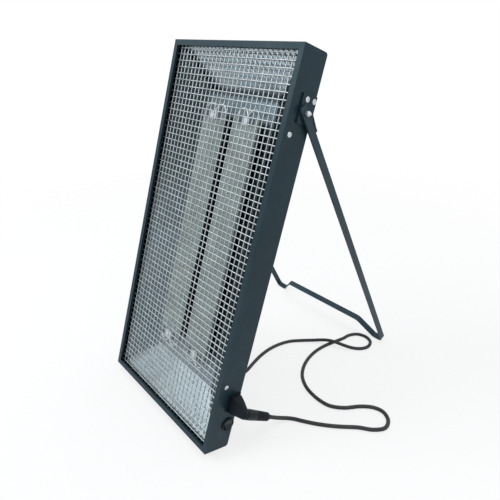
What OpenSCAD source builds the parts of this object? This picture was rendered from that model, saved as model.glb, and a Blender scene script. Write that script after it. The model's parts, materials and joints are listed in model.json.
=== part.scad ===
/* [Housing] */
// Width of the housing
panel_w = 300; // [280:1:340]
// Height of the housing along its face
panel_h = 625; // [600:1:680]
// Depth of the housing from lip to rear cover
panel_d = 50; // [48:0.5:60]
// Sheet thickness of the walls and the rear cover
sheet_t = 1.2; // [0.8:0.1:1.6]
// Width of the front lip
lip_w = 9; // [7:0.5:12]
// Outer radius of the rear edge at top and bottom
edge_r = 6; // [3:0.5:8]
// Width of the folded rear flange
flange_w = 16; // [12:1:20]
// Lean of the housing from upright
tilt = 18; // [14:0.5:22]

/* [Mesh] */
// Diameter of the mesh wires
wire_d = 1.8; // [1.2:0.1:2.2]
// Distance from wire to wire
wire_pitch = 10.2; // [9:0.1:14]
// Depth of the spacer between lip and mesh
spacer_d = 4.6; // [3:0.1:5]

/* [Reflector] */
// Sheet thickness of the reflector
mirror_t = 0.8; // [0.5:0.1:1]
// Width that each side slope takes
mirror_side_w = 63; // [55:0.5:70]
// Height that each end slope takes
mirror_end_h = 64.4; // [50:0.5:80]
// Gap between reflector rim and wall
mirror_rim_gap = 2.4; // [2:0.1:4]
// Depth of the fixing flange along the walls
mirror_flange_d = 8.5; // [6:0.5:12]
// Height of the lower side rivets
rivet_low_z = 119; // [100:1:160]
// Distance of the upper side rivets from the top
rivet_top_gap = 115; // [100:1:160]
// Diameter of a rivet head
rivet_d = 8; // [6:0.5:9]
// Height of a rivet head
rivet_h = 1.2; // [0.8:0.1:2]

/* [Emitters] */
// Width of an emitter plate
plate_w = 57; // [45:1:60]
// Thickness of an emitter plate
plate_t = 6; // [4:0.5:8]
// Gap between the two plates
plate_gap = 24; // [16:1:40]
// Distance of the plates' lower ends from the housing's lower edge
plate_z = 110; // [100:1:130]
// Distance of the plates' upper ends from the housing's upper edge
plate_top_gap = 103; // [98:1:130]
// Gap behind the plates
plate_back_gap = 11.7; // [8:0.1:14]
// Width of an end clip
clip_w = 16; // [10:1:20]
// Sheet thickness of an end clip
clip_t = 1.5; // [1:0.1:2]
// Reach of a clip over the plate
clip_reach = 12; // [8:1:18]
// Diameter of a ceramic post
post_d = 10; // [6:1:14]
// Diameter of a bare emitter wire
lead_wire_d = 1.8; // [1:0.1:2]

/* [Leg] */
// Distance of the pivot below the housing's upper edge
pivot_drop = 83; // [76:1:105]
// Depth of the pivot behind the lip
pivot_y = 27; // [24:1:32]
// How much longer the leg is than the pivot's height
leg_over = 50; // [30:1:70]
// Width of the leg strip
strip_w = 12; // [10:0.5:16]
// Thickness of the leg strip
strip_t = 3; // [2:0.25:4]
// Outward lean of each arm at its foot
arm_splay = 6; // [0:0.5:8]
// Rise of the crossbar above the feet
bar_rise = 42; // [30:1:50]
// Half width of the straight crossbar
bar_half = 105; // [80:1:115]
// Length of each foot
foot_len = 22; // [16:1:30]
// Length of the leg beyond its pivot
head_len = 11; // [9:0.5:14]
// Diameter of the pivot bolt
bolt_d = 4; // [3:0.5:5]
// Length of bolt that shows outside the leg
bolt_end = 8.5; // [7:0.5:11]
// Width of the pivot nut across its flats
nut_w = 7; // [6:0.5:9]

/* [Bracket] */
// Thickness of a bracket
bracket_t = 2.5; // [2:0.25:3.5]
// How far a bracket reaches below the pivot
bracket_drop = 15; // [12:1:20]
// Height of a bracket
bracket_h = 40; // [38:1:50]
// Front edge of a bracket
bracket_y = 18; // [14:1:19]
// Height of the bracket rivets above the pivot
bracket_rivet_rise = 18; // [16:1:20]

/* [Inlet and switch] */
// Depth of the inlet's centre
inlet_y = 34.5; // [32:0.5:35]
// Height of the inlet's centre
inlet_z = 88; // [84:1:100]
// Height of the inlet's flange
inlet_h = 31; // [28:0.5:34]
// Width of the inlet's flange
inlet_w = 25; // [22:0.5:25]
// Thickness of the inlet's flange
inlet_t = 2; // [1.5:0.25:3]
// Depth of the inlet inside the wall
inlet_in = 22; // [20:1:26]
// Depth of the switch's centre
switch_y = 35; // [33:0.5:35]
// Height of the switch's centre
switch_z = 46; // [40:1:50]
// Diameter of the switch's bezel
switch_d = 23.6; // [23:0.1:24]
// Throw of the rocker to each side
rocker_throw = 12; // [8:1:12]

/* [Lead] */
// Diameter of the mains lead
cord_d = 7; // [6:0.5:7]
// Pitch of the coil's turns
coil_pitch = 8.8; // [8.4:0.1:10]
// Height from one coil layer to the next
coil_layer = 7.8; // [7.8:0.1:9]
// Inner radius of the coil's centre line
coil_r = 33; // [30:1:33]

/* [Hidden] */
$fn = 48;
clear = 0.1;
gap = 0.3;
half_w = panel_w / 2;
wall_x = half_w - sheet_t;
shell_d = panel_d - sheet_t;
side_edge_r = 1.5;
rivet_high_z = panel_h - rivet_top_gap;
plate_h = panel_h - plate_z - plate_top_gap;
pivot_z = panel_h - pivot_drop;
leg_len = pivot_z + leg_over;
bracket_z = pivot_z - bracket_drop;
bracket_rivet_z = pivot_z + bracket_rivet_rise;

// Stance: the housing leans back on its rounded rear edge and on the two feet
floor_drop = (sheet_t + edge_r) * sin(tilt) + edge_r * cos(tilt) - edge_r;
pivot_floor_y = (pivot_y - panel_d) * cos(tilt) + pivot_z * sin(tilt);
pivot_floor_z = (panel_d - pivot_y) * sin(tilt) + pivot_z * cos(tilt) - floor_drop;
leg_angle = acos(pivot_floor_z / norm([leg_len, strip_w / 2])) + atan(strip_w / 2 / leg_len);
open_angle = leg_angle + tilt;
front_floor_y = -panel_d * cos(tilt);
rear_floor_y = pivot_floor_y + leg_len * sin(leg_angle) + strip_w / 2 * cos(leg_angle);
mid_y = (front_floor_y + rear_floor_y) / 2;

// Moves what is drawn on the upright panel into the leaning stance
module on_panel() {
    translate([0, -mid_y, -floor_drop])
        rotate([-tilt, 0, 0])
            translate([0, -panel_d, 0])
                children();
}

// Puts a copy on the left side of what is drawn on the right
module both_sides() {
    children();
    mirror([1, 0, 0])
        children();
}

// Lays an axis along X at a place on the right wall, starting at depth x
module along_x(x, y, z) {
    translate([x, y, z])
        rotate([0, 90, 0])
            children();
}

// Rod along Y from a near to a far depth
module rod_y(x, z, near, far, r) {
    translate([x, near, z])
        rotate([-90, 0, 0])
            cylinder(h = far - near, r = r);
}

// Low domed head on a flat seat, rising along +Z
module domed_head(d, h) {
    ball_r = (d * d / 4 + h * h) / (2 * h);
    intersection() {
        translate([0, 0, h - ball_r])
            sphere(r = ball_r);
        cylinder(h = h, r = d);
    }
}

// Side view of the walls: square at the front, rounded at the rear
module side_outline(inset, back) {
    r = edge_r - inset;
    difference() {
        translate([inset, inset])
            square([back - inset, panel_h - 2 * inset]);
        for (low = [true, false]) {
            z = low ? inset : panel_h - inset;
            centre_z = low ? inset + r : panel_h - inset - r;
            difference() {
                translate([back - r, min(z, centre_z)])
                    square([r, r]);
                translate([back - r, centre_z])
                    circle(r = r);
            }
        }
    }
}

// Solid outline of the housing, drawn in by an inset on every side
module housing_block(inset) {
    r = max(side_edge_r - inset, 0.2);
    depth = shell_d - 2 * inset;
    intersection() {
        translate([-half_w, 0, 0])
            rotate([90, 0, 90])
                linear_extrude(height = panel_w)
                    side_outline(inset, shell_d - inset);
        union() {
            translate([inset - half_w, inset, 0])
                cube([panel_w - 2 * inset, depth - r, panel_h]);
            translate([inset + r - half_w, inset, 0])
                cube([panel_w - 2 * (inset + r), depth, panel_h]);
            both_sides()
                translate([half_w - inset - r, inset + depth - r, 0])
                    cylinder(h = panel_h, r = r);
        }
    }
}

// Steel shell: four walls, front lip and folded rear flange
module housing_shell() {
    window = [panel_w - 2 * lip_w, panel_h - 2 * lip_w];
    rear_window = [panel_w - 2 * flange_w, panel_h - 2 * flange_w];
    color([0.15, 0.2, 0.22])
        on_panel()
            difference() {
                housing_block(0);
                housing_block(sheet_t);
                translate([-window.x / 2, -sheet_t, lip_w])
                    cube([window.x, 3 * sheet_t, window.y]);
                translate([-rear_window.x / 2, shell_d - 2 * sheet_t, flange_w])
                    cube([rear_window.x, 4 * sheet_t, rear_window.y]);
                for (hole = cover_screw_places)
                    rod_y(hole.x, hole.y, shell_d - 2 * sheet_t, panel_d, screw_r + clear);
                both_sides() {
                    along_x(wall_x - 1, pivot_y, pivot_z)
                        cylinder(h = 4, r = bolt_d / 2 + clear);
                    for (z = [rivet_low_z, rivet_high_z])
                        along_x(wall_x - 1, rivet_y, z)
                            cylinder(h = 4, r = rivet_shank_r + clear);
                    for (y = bracket_rivet_y)
                        along_x(wall_x - 1, y, bracket_rivet_z)
                            cylinder(h = 4, r = rivet_shank_r + clear);
                }
                inlet_block(wall_x - 1, half_w + 1, clear);
                along_x(wall_x - 1, switch_y, switch_z)
                    cylinder(h = 4, r = barrel_r + clear);
            }
}

// Rear cover: a flat plate screwed to the flange from behind
cover_inset = 7;
screw_r = 1.5;
screw_head_r = 3.5;
screw_head_h = 1.8;
screw_edge = 11;
screw_rows = 4;
cover_screw_places = [
    for (side = [-1, 1], row = [0:screw_rows - 1])
        [side * (half_w - screw_edge),
         screw_edge + row * (panel_h - 2 * screw_edge) / (screw_rows - 1)]];
slot_len = 40;
slot_w = 4;
slot_pitch = 12;
slot_rows = 5;
slot_low_z = 40;
slot_high_z = panel_h - slot_low_z - (slot_rows - 1) * slot_pitch - slot_w;

module rear_cover() {
    color([0.15, 0.2, 0.22])
        on_panel()
            difference() {
                translate([cover_inset - half_w, shell_d, cover_inset])
                    cube([panel_w - 2 * cover_inset, sheet_t, panel_h - 2 * cover_inset]);
                for (hole = cover_screw_places)
                    rod_y(hole.x, hole.y, shell_d - 1, panel_d + 1, screw_r + clear);
                for (x = [-1, 1], z = [slot_low_z, slot_high_z], row = [0:slot_rows - 1])
                    translate([x * slot_len - slot_len / 2, shell_d - 1, z + row * slot_pitch])
                        cube([slot_len - slot_w, sheet_t + 2, slot_w]);
            }
}

module rear_cover_screws() {
    color([0.6, 0.62, 0.64])
        on_panel()
            for (place = cover_screw_places) {
                rod_y(place.x, place.y, shell_d - sheet_t - 2, panel_d, screw_r);
                translate([place.x, panel_d, place.y])
                    rotate([-90, 0, 0])
                        domed_head(2 * screw_head_r, screw_head_h);
            }
}

// Spacer frame behind the lip, a little outside its window
spacer_back = sheet_t + spacer_d;
spacer_inset = 2;
module grille_spacer() {
    outer = [panel_w - 2 * sheet_t - 2 * clear, panel_h - 2 * sheet_t - 2 * clear];
    bar = lip_w - spacer_inset - sheet_t - clear;
    color([0.12, 0.15, 0.17])
        on_panel()
            translate([0, sheet_t, panel_h / 2])
                rotate([-90, 0, 0])
                    linear_extrude(height = spacer_d)
                        difference() {
                            square(outer, center = true);
                            square([outer.x - 2 * bar, outer.y - 2 * bar], center = true);
                        }
}

// Welded mesh: the uprights lie on the spacer, the cross wires behind them
wire_r = wire_d / 2;
upright_y = spacer_back + wire_r;
cross_y = upright_y + wire_d;
wire_end_gap = 1.3;
upright_count = floor((panel_w - 2 * lip_w - wire_pitch / 2) / wire_pitch) + 1;
cross_count = floor((panel_h - 2 * lip_w - wire_pitch / 2) / wire_pitch) + 1;
module grille_uprights() {
    color([0.8, 0.82, 0.83])
        on_panel()
            for (i = [0:upright_count - 1])
                translate([(i - (upright_count - 1) / 2) * wire_pitch, upright_y,
                           sheet_t + wire_end_gap])
                    cylinder(h = panel_h - 2 * (sheet_t + wire_end_gap), r = wire_r, $fn = 16);
}

module grille_cross_wires() {
    reach = wall_x - wire_end_gap;
    color([0.8, 0.82, 0.83])
        on_panel()
            for (i = [0:cross_count - 1])
                along_x(-reach, cross_y, panel_h / 2 + (i - (cross_count - 1) / 2) * wire_pitch)
                    cylinder(h = 2 * reach, r = wire_r, $fn = 16);
}

// Reflector pan: a shallow frustum that opens to the front
rim_y = cross_y + wire_r + clear;
mirror_back_y = shell_d - sheet_t - clear - mirror_t - gap;
rim_x = wall_x - mirror_rim_gap;
rim_z = sheet_t + mirror_rim_gap;
back_x = rim_x - mirror_side_w;
back_z = rim_z + mirror_end_h;
slope_rise = mirror_back_y - rim_y;
slope_run = rim_x - back_x;
slope_shift = mirror_t * norm([slope_rise, slope_run]) / slope_rise;
back_shift = slope_shift - mirror_t * slope_run / slope_rise;
flange_t = mirror_rim_gap - slope_shift + 0.5;

// Frustum between the rim plane and a back plane, grown by shifts at rim and back
module pan_block(front, back, grow_rim, grow_back) {
    rx = rim_x + grow_rim;
    rz = rim_z - grow_rim;
    bx = back_x + grow_back;
    bz = back_z - grow_back;
    top = panel_h;
    polyhedron(
        points = [
            [-rx, front, rz], [rx, front, rz], [rx, front, top - rz], [-rx, front, top - rz],
            [-bx, back, bz], [bx, back, bz], [bx, back, top - bz], [-bx, back, top - bz]],
        faces = [
            [3, 2, 1, 0], [4, 5, 6, 7], [0, 1, 5, 4], [2, 3, 7, 6], [1, 2, 6, 5], [3, 0, 4, 7]]);
}

module pan_sheet() {
    difference() {
        pan_block(rim_y, mirror_back_y + mirror_t, slope_shift, back_shift);
        pan_block(rim_y, mirror_back_y, 0, 0);
    }
}

// Prism over the lower end slope, bounded by the two mitre lines
module end_zone() {
    far = slope_shift + 1;
    step = far * (rim_x - back_x) / mirror_end_h;
    translate([0, panel_d, 0])
        rotate([90, 0, 0])
            linear_extrude(height = panel_d)
                polygon([
                    [-rim_x - step, rim_z - far], [rim_x + step, rim_z - far],
                    [back_x, back_z], [-back_x, back_z]]);
}

module flip_ends() {
    translate([0, 0, panel_h])
        mirror([0, 0, 1])
            children();
}

module reflector_end() {
    intersection() {
        pan_sheet();
        end_zone();
    }
    translate([-back_x, rim_y, sheet_t])
        cube([2 * back_x, mirror_flange_d, flange_t]);
}

rivet_y = 12.5;
rivet_shank_r = 2;
module reflector_trough() {
    color([0.78, 0.82, 0.84])
        on_panel()
            difference() {
                union() {
                    difference() {
                        pan_sheet();
                        end_zone();
                        flip_ends()
                            end_zone();
                    }
                    both_sides()
                        translate([wall_x - flange_t, rim_y, back_z])
                            cube([flange_t, mirror_flange_d, panel_h - 2 * back_z]);
                }
                both_sides()
                    for (z = [rivet_low_z, rivet_high_z])
                        along_x(wall_x - 3, rivet_y, z)
                            cylinder(h = 4, r = rivet_shank_r + clear);
            }
}

module reflector_bottom_end() {
    color([0.8, 0.84, 0.86])
        on_panel()
            reflector_end();
}

module reflector_top_end() {
    color([0.8, 0.84, 0.86])
        on_panel()
            flip_ends()
                reflector_end();
}

// Blind rivets through the walls into the reflector's flanges
module reflector_rivets() {
    color([0.85, 0.87, 0.88])
        on_panel()
            both_sides()
                for (z = [rivet_low_z, rivet_high_z]) {
                    along_x(half_w, rivet_y, z)
                        domed_head(rivet_d, rivet_h);
                    along_x(wall_x - flange_t - clear, rivet_y, z)
                        cylinder(h = sheet_t + flange_t + clear, r = rivet_shank_r);
                }
}

// Emitter plates, held at both ends in front of the reflector's back
plate_x = (plate_gap + plate_w) / 2;
plate_front = mirror_back_y - plate_back_gap - plate_t;
plate_mid_z = plate_z + plate_h / 2;
module emitter(side) {
    color([0.62, 0.64, 0.62])
        on_panel()
            translate([side * plate_x - plate_w / 2, plate_front, plate_z])
                cube([plate_w, plate_t, plate_h]);
}

// Draws at the lower and upper end of both plates what is given at x = 0
module plate_ends() {
    for (x = [-plate_x, plate_x])
        translate([x, 0, plate_mid_z])
            for (up = [0, 1])
                mirror([0, 0, up])
                    translate([0, 0, -plate_h / 2])
                        children();
}

module emitter_clips() {
    color([0.85, 0.87, 0.88])
        on_panel()
            plate_ends()
                translate([-clip_w / 2, plate_front - clip_t, -clip_t])
                    difference() {
                        cube([clip_w, plate_t + 2 * clip_t, clip_reach + clip_t]);
                        translate([-1, clip_t, clip_t])
                            cube([clip_w + 2, plate_t, clip_reach + 1]);
                    }
}

module emitter_posts() {
    color([0.9, 0.88, 0.82])
        on_panel()
            plate_ends()
                rod_y(0, clip_reach / 2, plate_front + plate_t + clip_t, mirror_back_y, post_d / 2);
}

// Two bare half loops from each clip to the plate's corners
loop_gap = 0.2;
loop_edge = 4;
module emitter_leads() {
    r = lead_wire_d / 2;
    loop_r = (plate_w / 2 - loop_edge - r - loop_gap) / 2;
    centre_x = r + loop_gap + loop_r;
    color([0.85, 0.87, 0.88])
        on_panel()
            plate_ends()
                translate([0, plate_front + plate_t / 2, -clip_t])
                    both_sides() {
                        translate([centre_x, 0, 0])
                            rotate([-90, 0, 0])
                                rotate_extrude(angle = 180)
                                    translate([loop_r, 0])
                                        circle(r = r, $fn = 16);
                        translate([centre_x + loop_r, 0, 0])
                            cylinder(h = clip_t, r = r, $fn = 16);
                    }
}

// Electrical pieces on the inside of the rear cover, behind the right slope
block_size = [22, 12, 40];
block_in = 46;
block_x = half_w - block_in;
block_z = 150;
well_r = 2;
well_depth = 6;
well_count = 4;
module terminal_block() {
    pitch = block_size.z / well_count;
    color([0.88, 0.87, 0.82])
        on_panel()
            difference() {
                translate([block_x, shell_d - block_size.y, block_z])
                    cube(block_size);
                for (i = [0:well_count - 1])
                    rod_y(block_x + block_size.x / 2, block_z + (i + 0.5) * pitch,
                          shell_d - block_size.y - 1, shell_d - block_size.y + well_depth, well_r);
            }
}

wire_x = block_x + block_size.x / 2;
cutout_z = 330;
cutout_r = 8;
cutout_t = 5;
cutout_cap_r = 6;
cutout_cap_t = 3;
module thermal_cutout() {
    color([0.35, 0.3, 0.25])
        on_panel() {
            rod_y(wire_x, cutout_z, shell_d - cutout_t, shell_d, cutout_r);
            rod_y(wire_x, cutout_z, shell_d - cutout_t - cutout_cap_t, shell_d - cutout_t,
                  cutout_cap_r);
        }
}

// Insulated wires: switch to block, inlet to block, block to cut-out
inner_wire_r = 1.5;
inlet_wire_y = inlet_y + 7.5;
switch_wire_x = wire_x + 6;
switch_wire_y = switch_y + 3;
cutout_wire_y = shell_d - cutout_t / 2;
module inner_elbow(x, y, z, from_x, to_z) {
    along_x(x, y, z)
        cylinder(h = from_x - x, r = inner_wire_r);
    translate([x, y, z])
        sphere(r = inner_wire_r);
    translate([x, y, z])
        cylinder(h = to_z - z, r = inner_wire_r);
}

module inner_wires() {
    color([0.75, 0.72, 0.6])
        on_panel() {
            inner_elbow(wire_x, inlet_wire_y, inlet_z, half_w - inlet_in, block_z);
            inner_elbow(switch_wire_x, switch_wire_y, switch_z, half_w - barrel_in, block_z);
            translate([wire_x, cutout_wire_y, block_z + block_size.z])
                cylinder(h = cutout_z - cutout_r - block_z - block_size.z, r = inner_wire_r);
        }
}

// Places across the pivot, from the wall outwards
washer_t = 0.7;
washer_r = 5;
bracket_x = half_w + bracket_t;
arm_in_x = bracket_x + washer_t + gap;
arm_x = arm_in_x + strip_t / 2;
arm_out_x = arm_in_x + strip_t;

// Point in the side view of the panel, s along the open leg and n behind its centre line
function leg_point(s, n) = [
    pivot_y + s * sin(open_angle) + n * cos(open_angle),
    pivot_z - s * cos(open_angle) + n * sin(open_angle)];

// Moves what is drawn down from a pivot at the origin onto the open leg
module on_leg() {
    on_panel()
        translate([0, pivot_y, pivot_z])
            rotate([open_angle, 0, 0])
                children();
}

// Stop bracket with a lug whose bent lip holds the open leg
bracket_rear = 47;
bracket_heel = 2;
bracket_rivet_y = [28, 42.5];
stop_n = strip_w / 2 + gap;
lug_from = 24;
lug_to = 36;
lug_reach = 13;
lip_t = 3;
lip_out = 0.5;
module bracket() {
    on_panel()
        difference() {
            translate([half_w, 0, 0])
                rotate([90, 0, 90])
                    linear_extrude(height = bracket_t)
                        polygon([
                            [bracket_y, bracket_z], [bracket_y, bracket_z + bracket_h],
                            [bracket_rear, bracket_z + bracket_h],
                            [bracket_rear, pivot_z + bracket_heel],
                            leg_point(lug_to, lug_reach), leg_point(lug_to, stop_n),
                            leg_point(lug_from, stop_n),
                            [bracket_rear - bracket_heel, bracket_z]]);
            along_x(half_w - 1, pivot_y, pivot_z)
                cylinder(h = bracket_t + 2, r = bolt_d / 2 + clear);
            for (y = bracket_rivet_y)
                along_x(half_w - 1, y, bracket_rivet_z)
                    cylinder(h = bracket_t + 2, r = rivet_shank_r + clear);
        }
    on_leg()
        translate([half_w, stop_n, -lug_to])
            cube([arm_out_x + lip_out - half_w, lip_t, lug_to - lug_from]);
}

module bracket_right() {
    color([0.13, 0.17, 0.19])
        bracket();
}

module bracket_left() {
    color([0.13, 0.17, 0.19])
        mirror([1, 0, 0])
            bracket();
}

module bracket_rivets() {
    color([0.85, 0.87, 0.88])
        on_panel()
            both_sides()
                for (y = bracket_rivet_y) {
                    along_x(bracket_x, y, bracket_rivet_z)
                        domed_head(rivet_d, min(rivet_h, washer_t + gap));
                    along_x(wall_x - 1, y, bracket_rivet_z)
                        cylinder(h = bracket_x - wall_x + 1, r = rivet_shank_r);
                }
}

function unit(v) = v / norm(v);

// Arc of a given radius in place of the corner at b
function fillet(a, b, c, r, steps) =
    let (u = unit(a - b), w = unit(c - b), half = acos(u * w) / 2,
         centre = b + unit(u + w) * r / sin(half),
         p = b + u * r / tan(half), q = b + w * r / tan(half),
         start = atan2(p.y - centre.y, p.x - centre.x),
         end = atan2(q.y - centre.y, q.x - centre.x),
         turn = (end - start + 540) % 360 - 180)
    [for (i = [0:steps])
        let (t = start + turn * i / steps)
        centre + r * [cos(t), sin(t)]];

// Both long edges of a strip of thickness t that follows a path
function strip_edge(path, shift) = [
    for (i = [0:len(path) - 1])
        let (d = unit(path[min(i + 1, len(path) - 1)] - path[max(i - 1, 0)]))
        path[i] + shift * [-d.y, d.x]];
function reversed(list) = [for (i = [len(list) - 1:-1:0]) list[i]];

// Leg: one flat strip bent into a U, seen along the leg's normal
foot_r = 8;
bar_r = 12;
head_r = 3;
bend_steps = 6;
foot_h = strip_t / 2 - leg_len;
foot_x = arm_x + arm_splay;
leg_corners = [
    [arm_x + arm_splay * head_len / foot_h, head_len],
    [foot_x, foot_h],
    [foot_x - foot_len, foot_h],
    [bar_half, foot_h + bar_rise],
    [0, foot_h + bar_rise]];
right_path = concat(
    [leg_corners[0]],
    fillet(leg_corners[0], leg_corners[1], leg_corners[2], foot_r, bend_steps),
    fillet(leg_corners[1], leg_corners[2], leg_corners[3], foot_r, bend_steps),
    fillet(leg_corners[2], leg_corners[3], leg_corners[4], bar_r, bend_steps));
leg_path = concat(right_path, [for (p = reversed(right_path)) [-p.x, p.y]]);
leg_bore_gap = 0.05;
module support_leg() {
    color([0.22, 0.27, 0.3])
        on_leg()
            difference() {
                intersection() {
                    rotate([90, 0, 0])
                        linear_extrude(height = strip_w, center = true)
                            polygon(concat(
                                strip_edge(leg_path, strip_t / 2),
                                reversed(strip_edge(leg_path, -strip_t / 2))));
                    rotate([90, 0, 90])
                        linear_extrude(height = 2 * foot_x + 2 * strip_t, center = true)
                            head_outline();
                }
                both_sides()
                    along_x(arm_in_x - 1, 0, 0)
                        cylinder(h = strip_t + 2, r = bolt_d / 2 + leg_bore_gap);
            }
}

// Side view of the strip with its rounded head
module head_outline() {
    translate([-strip_w / 2, -leg_len - strip_t])
        square([strip_w, leg_len + strip_t + head_len - head_r]);
    translate([head_r - strip_w / 2, 0])
        square([strip_w - 2 * head_r, head_len]);
    for (side = [-1, 1])
        translate([side * (strip_w / 2 - head_r), head_len - head_r])
            circle(r = head_r);
}

bolt_head_r = 3.5;
bolt_head_t = 3;
nut_t = 5;
nut_bore_gap = 0.05;
module pivot_bolts() {
    color([0.88, 0.9, 0.9])
        on_panel()
            both_sides() {
                along_x(wall_x - bolt_head_t, pivot_y, pivot_z)
                    cylinder(h = bolt_head_t, r = bolt_head_r);
                along_x(wall_x, pivot_y, pivot_z)
                    cylinder(h = arm_out_x + bolt_end - wall_x, r = bolt_d / 2);
            }
}

module pivot_washers() {
    color([0.7, 0.72, 0.73])
        on_panel()
            both_sides()
                along_x(bracket_x, pivot_y, pivot_z)
                    difference() {
                        cylinder(h = washer_t, r = washer_r);
                        translate([0, 0, -1])
                            cylinder(h = washer_t + 2, r = bolt_d / 2 + clear);
                    }
}

module pivot_nuts() {
    color([0.88, 0.9, 0.9])
        on_panel()
            both_sides()
                along_x(arm_out_x + gap, pivot_y, pivot_z)
                    difference() {
                        cylinder(h = nut_t, r = nut_w / 2 / cos(30), $fn = 6);
                        translate([0, 0, -1])
                            cylinder(h = nut_t + 2, r = bolt_d / 2 + nut_bore_gap);
                    }
}

// Snap-in inlet: flange outside, core through the wall, cavity for the connector
core_w = 20;
core_h = 26.6;
cavity_w = 16.2;
cavity_h = 24.2;
cavity_in = 15;
module inlet_block(from_x, to_x, grow) {
    size = [to_x - from_x, core_w + 2 * grow, core_h + 2 * grow];
    translate([from_x, inlet_y - size.y / 2, inlet_z - size.z / 2])
        cube(size);
}

module inlet_body() {
    color([0.07, 0.08, 0.09])
        on_panel()
            difference() {
                union() {
                    translate([half_w, inlet_y - inlet_w / 2, inlet_z - inlet_h / 2])
                        cube([inlet_t, inlet_w, inlet_h]);
                    inlet_block(half_w - inlet_in, half_w + inlet_t / 2, 0);
                }
                translate([half_w - cavity_in, inlet_y - cavity_w / 2, inlet_z - cavity_h / 2])
                    cube([cavity_in + inlet_t + 1, cavity_w, cavity_h]);
            }
}

// Contact blades, depth and height offsets from the inlet's centre
blade = [12, 2, 4];
blade_places = [[-2, -7], [-2, 7], [2.5, 0]];
module inlet_blades(grow) {
    for (place = blade_places)
        translate([half_w - cavity_in, inlet_y + place.x - blade.y / 2 - grow,
                   inlet_z + place.y - blade.z / 2 - grow])
            cube([blade.x + grow, blade.y + 2 * grow, blade.z + 2 * grow]);
}

module inlet_pins() {
    color([0.8, 0.78, 0.7])
        on_panel()
            inlet_blades(0);
}

// Round rocker switch: barrel through the wall and bezel outside
barrel_r = 10.3;
barrel_in = 20;
bezel_t = 2.2;
well_wall = 0.9;
switch_axle_in = 2;
trunnion_r = 1.2;
trunnion_gap = 0.05;
trunnion_reach = 9.9;
well_floor = 9;
module switch_body() {
    color([0.05, 0.06, 0.07])
        on_panel()
            difference() {
                union() {
                    along_x(half_w - barrel_in, switch_y, switch_z)
                        cylinder(h = barrel_in + bezel_t / 2, r = barrel_r);
                    along_x(half_w, switch_y, switch_z)
                        cylinder(h = bezel_t, r = switch_d / 2);
                }
                along_x(half_w - well_floor, switch_y, switch_z)
                    cylinder(h = well_floor + bezel_t + 1, r = barrel_r - well_wall);
                rod_y(half_w - switch_axle_in, switch_z, switch_y - barrel_r - 1,
                      switch_y + barrel_r + 1, trunnion_r + trunnion_gap);
            }
}

// Rocker: a disc with a shallow V on top, turned by its throw about the trunnions
paddle_r = 8.2;
paddle_half = 7.4;
paddle_top = 6;
paddle_mid = 4;
paddle_low = 3;
module switch_rocker() {
    color([0.09, 0.1, 0.11])
        on_panel()
            translate([half_w - switch_axle_in, switch_y, switch_z])
                rotate([0, -rocker_throw, 0]) {
                    intersection() {
                        along_x(-paddle_low, 0, 0)
                            cylinder(h = paddle_low + paddle_top, r = paddle_r);
                        rotate([90, 0, 0])
                            linear_extrude(height = 2 * paddle_r + 2, center = true)
                                polygon([
                                    [-paddle_low, -paddle_half], [paddle_top, -paddle_half],
                                    [paddle_mid, 0],
                                    [paddle_top, paddle_half], [-paddle_low, paddle_half]]);
                    }
                    rod_y(0, 0, -trunnion_reach, trunnion_reach, trunnion_r);
                }
}

// Angled connector: a block on the inlet that turns rearwards into a grip
plug_gap = 0.3;
nose_gap = 0.2;
blade_slot = 0.2;
base_t = 6;
base_front = 10;
base_rear = 8.5;
base_half_h = 14;
back_t = 18;
back_front = 7.5;
back_rear = 5.5;
back_half_h = 10.5;
elbow_r = 8.6;
grip_r = 7.9;
grip_end_r = 7.2;
grip_len = 28;
grip_root = [half_w + inlet_t + 18.5, inlet_y + 9.5, inlet_z - 12];
grip_way = [0, 68, -26];
module connector_body() {
    front_x = half_w + inlet_t;
    color([0.04, 0.05, 0.06])
        on_panel() {
            difference() {
                translate([half_w - cavity_in + plug_gap, inlet_y - cavity_w / 2 + nose_gap,
                           inlet_z - cavity_h / 2 + nose_gap])
                    cube([cavity_in + inlet_t, cavity_w - 2 * nose_gap, cavity_h - 2 * nose_gap]);
                inlet_blades(blade_slot);
            }
            hull() {
                translate([front_x, inlet_y - base_front, inlet_z - base_half_h])
                    cube([base_t, base_front + base_rear, 2 * base_half_h]);
                translate([front_x, inlet_y - back_front, inlet_z - back_half_h])
                    cube([back_t, back_front + back_rear, 2 * back_half_h]);
                translate(grip_root)
                    sphere(r = elbow_r, $fn = 32);
            }
            on_grip(0)
                cylinder(h = grip_len, r1 = grip_r, r2 = grip_end_r);
        }
}

// Draws along the grip's axis from a distance past its root
module on_grip(from) {
    translate(grip_root)
        rotate([-90 + atan2(grip_way.z, grip_way.y), 0, 0])
            translate([0, 0, from])
                children();
}

// Tapered strain relief with ribs
relief_len = 45;
relief_r = 6.8;
relief_end_r = 5.5;
rib_count = 5;
rib_from = 10;
rib_pitch = 6;
rib_t = 2.5;
rib_r = 7;
rib_taper = 0.25;
module strain_relief() {
    color([0.05, 0.06, 0.07])
        on_panel()
            on_grip(grip_len) {
                cylinder(h = relief_len, r1 = relief_r, r2 = relief_end_r);
                for (i = [0:rib_count - 1])
                    translate([0, 0, rib_from + i * rib_pitch])
                        cylinder(h = rib_t, r = rib_r - i * rib_taper);
            }
}

// Point and direction of the panel in the leaning stance
function stance_way(v) = [
    v.x,
    v.y * cos(tilt) + v.z * sin(tilt),
    v.z * cos(tilt) - v.y * sin(tilt)];
function stance_point(p) = stance_way(p - [0, panel_d, 0]) - [0, mid_y, floor_drop];

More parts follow.
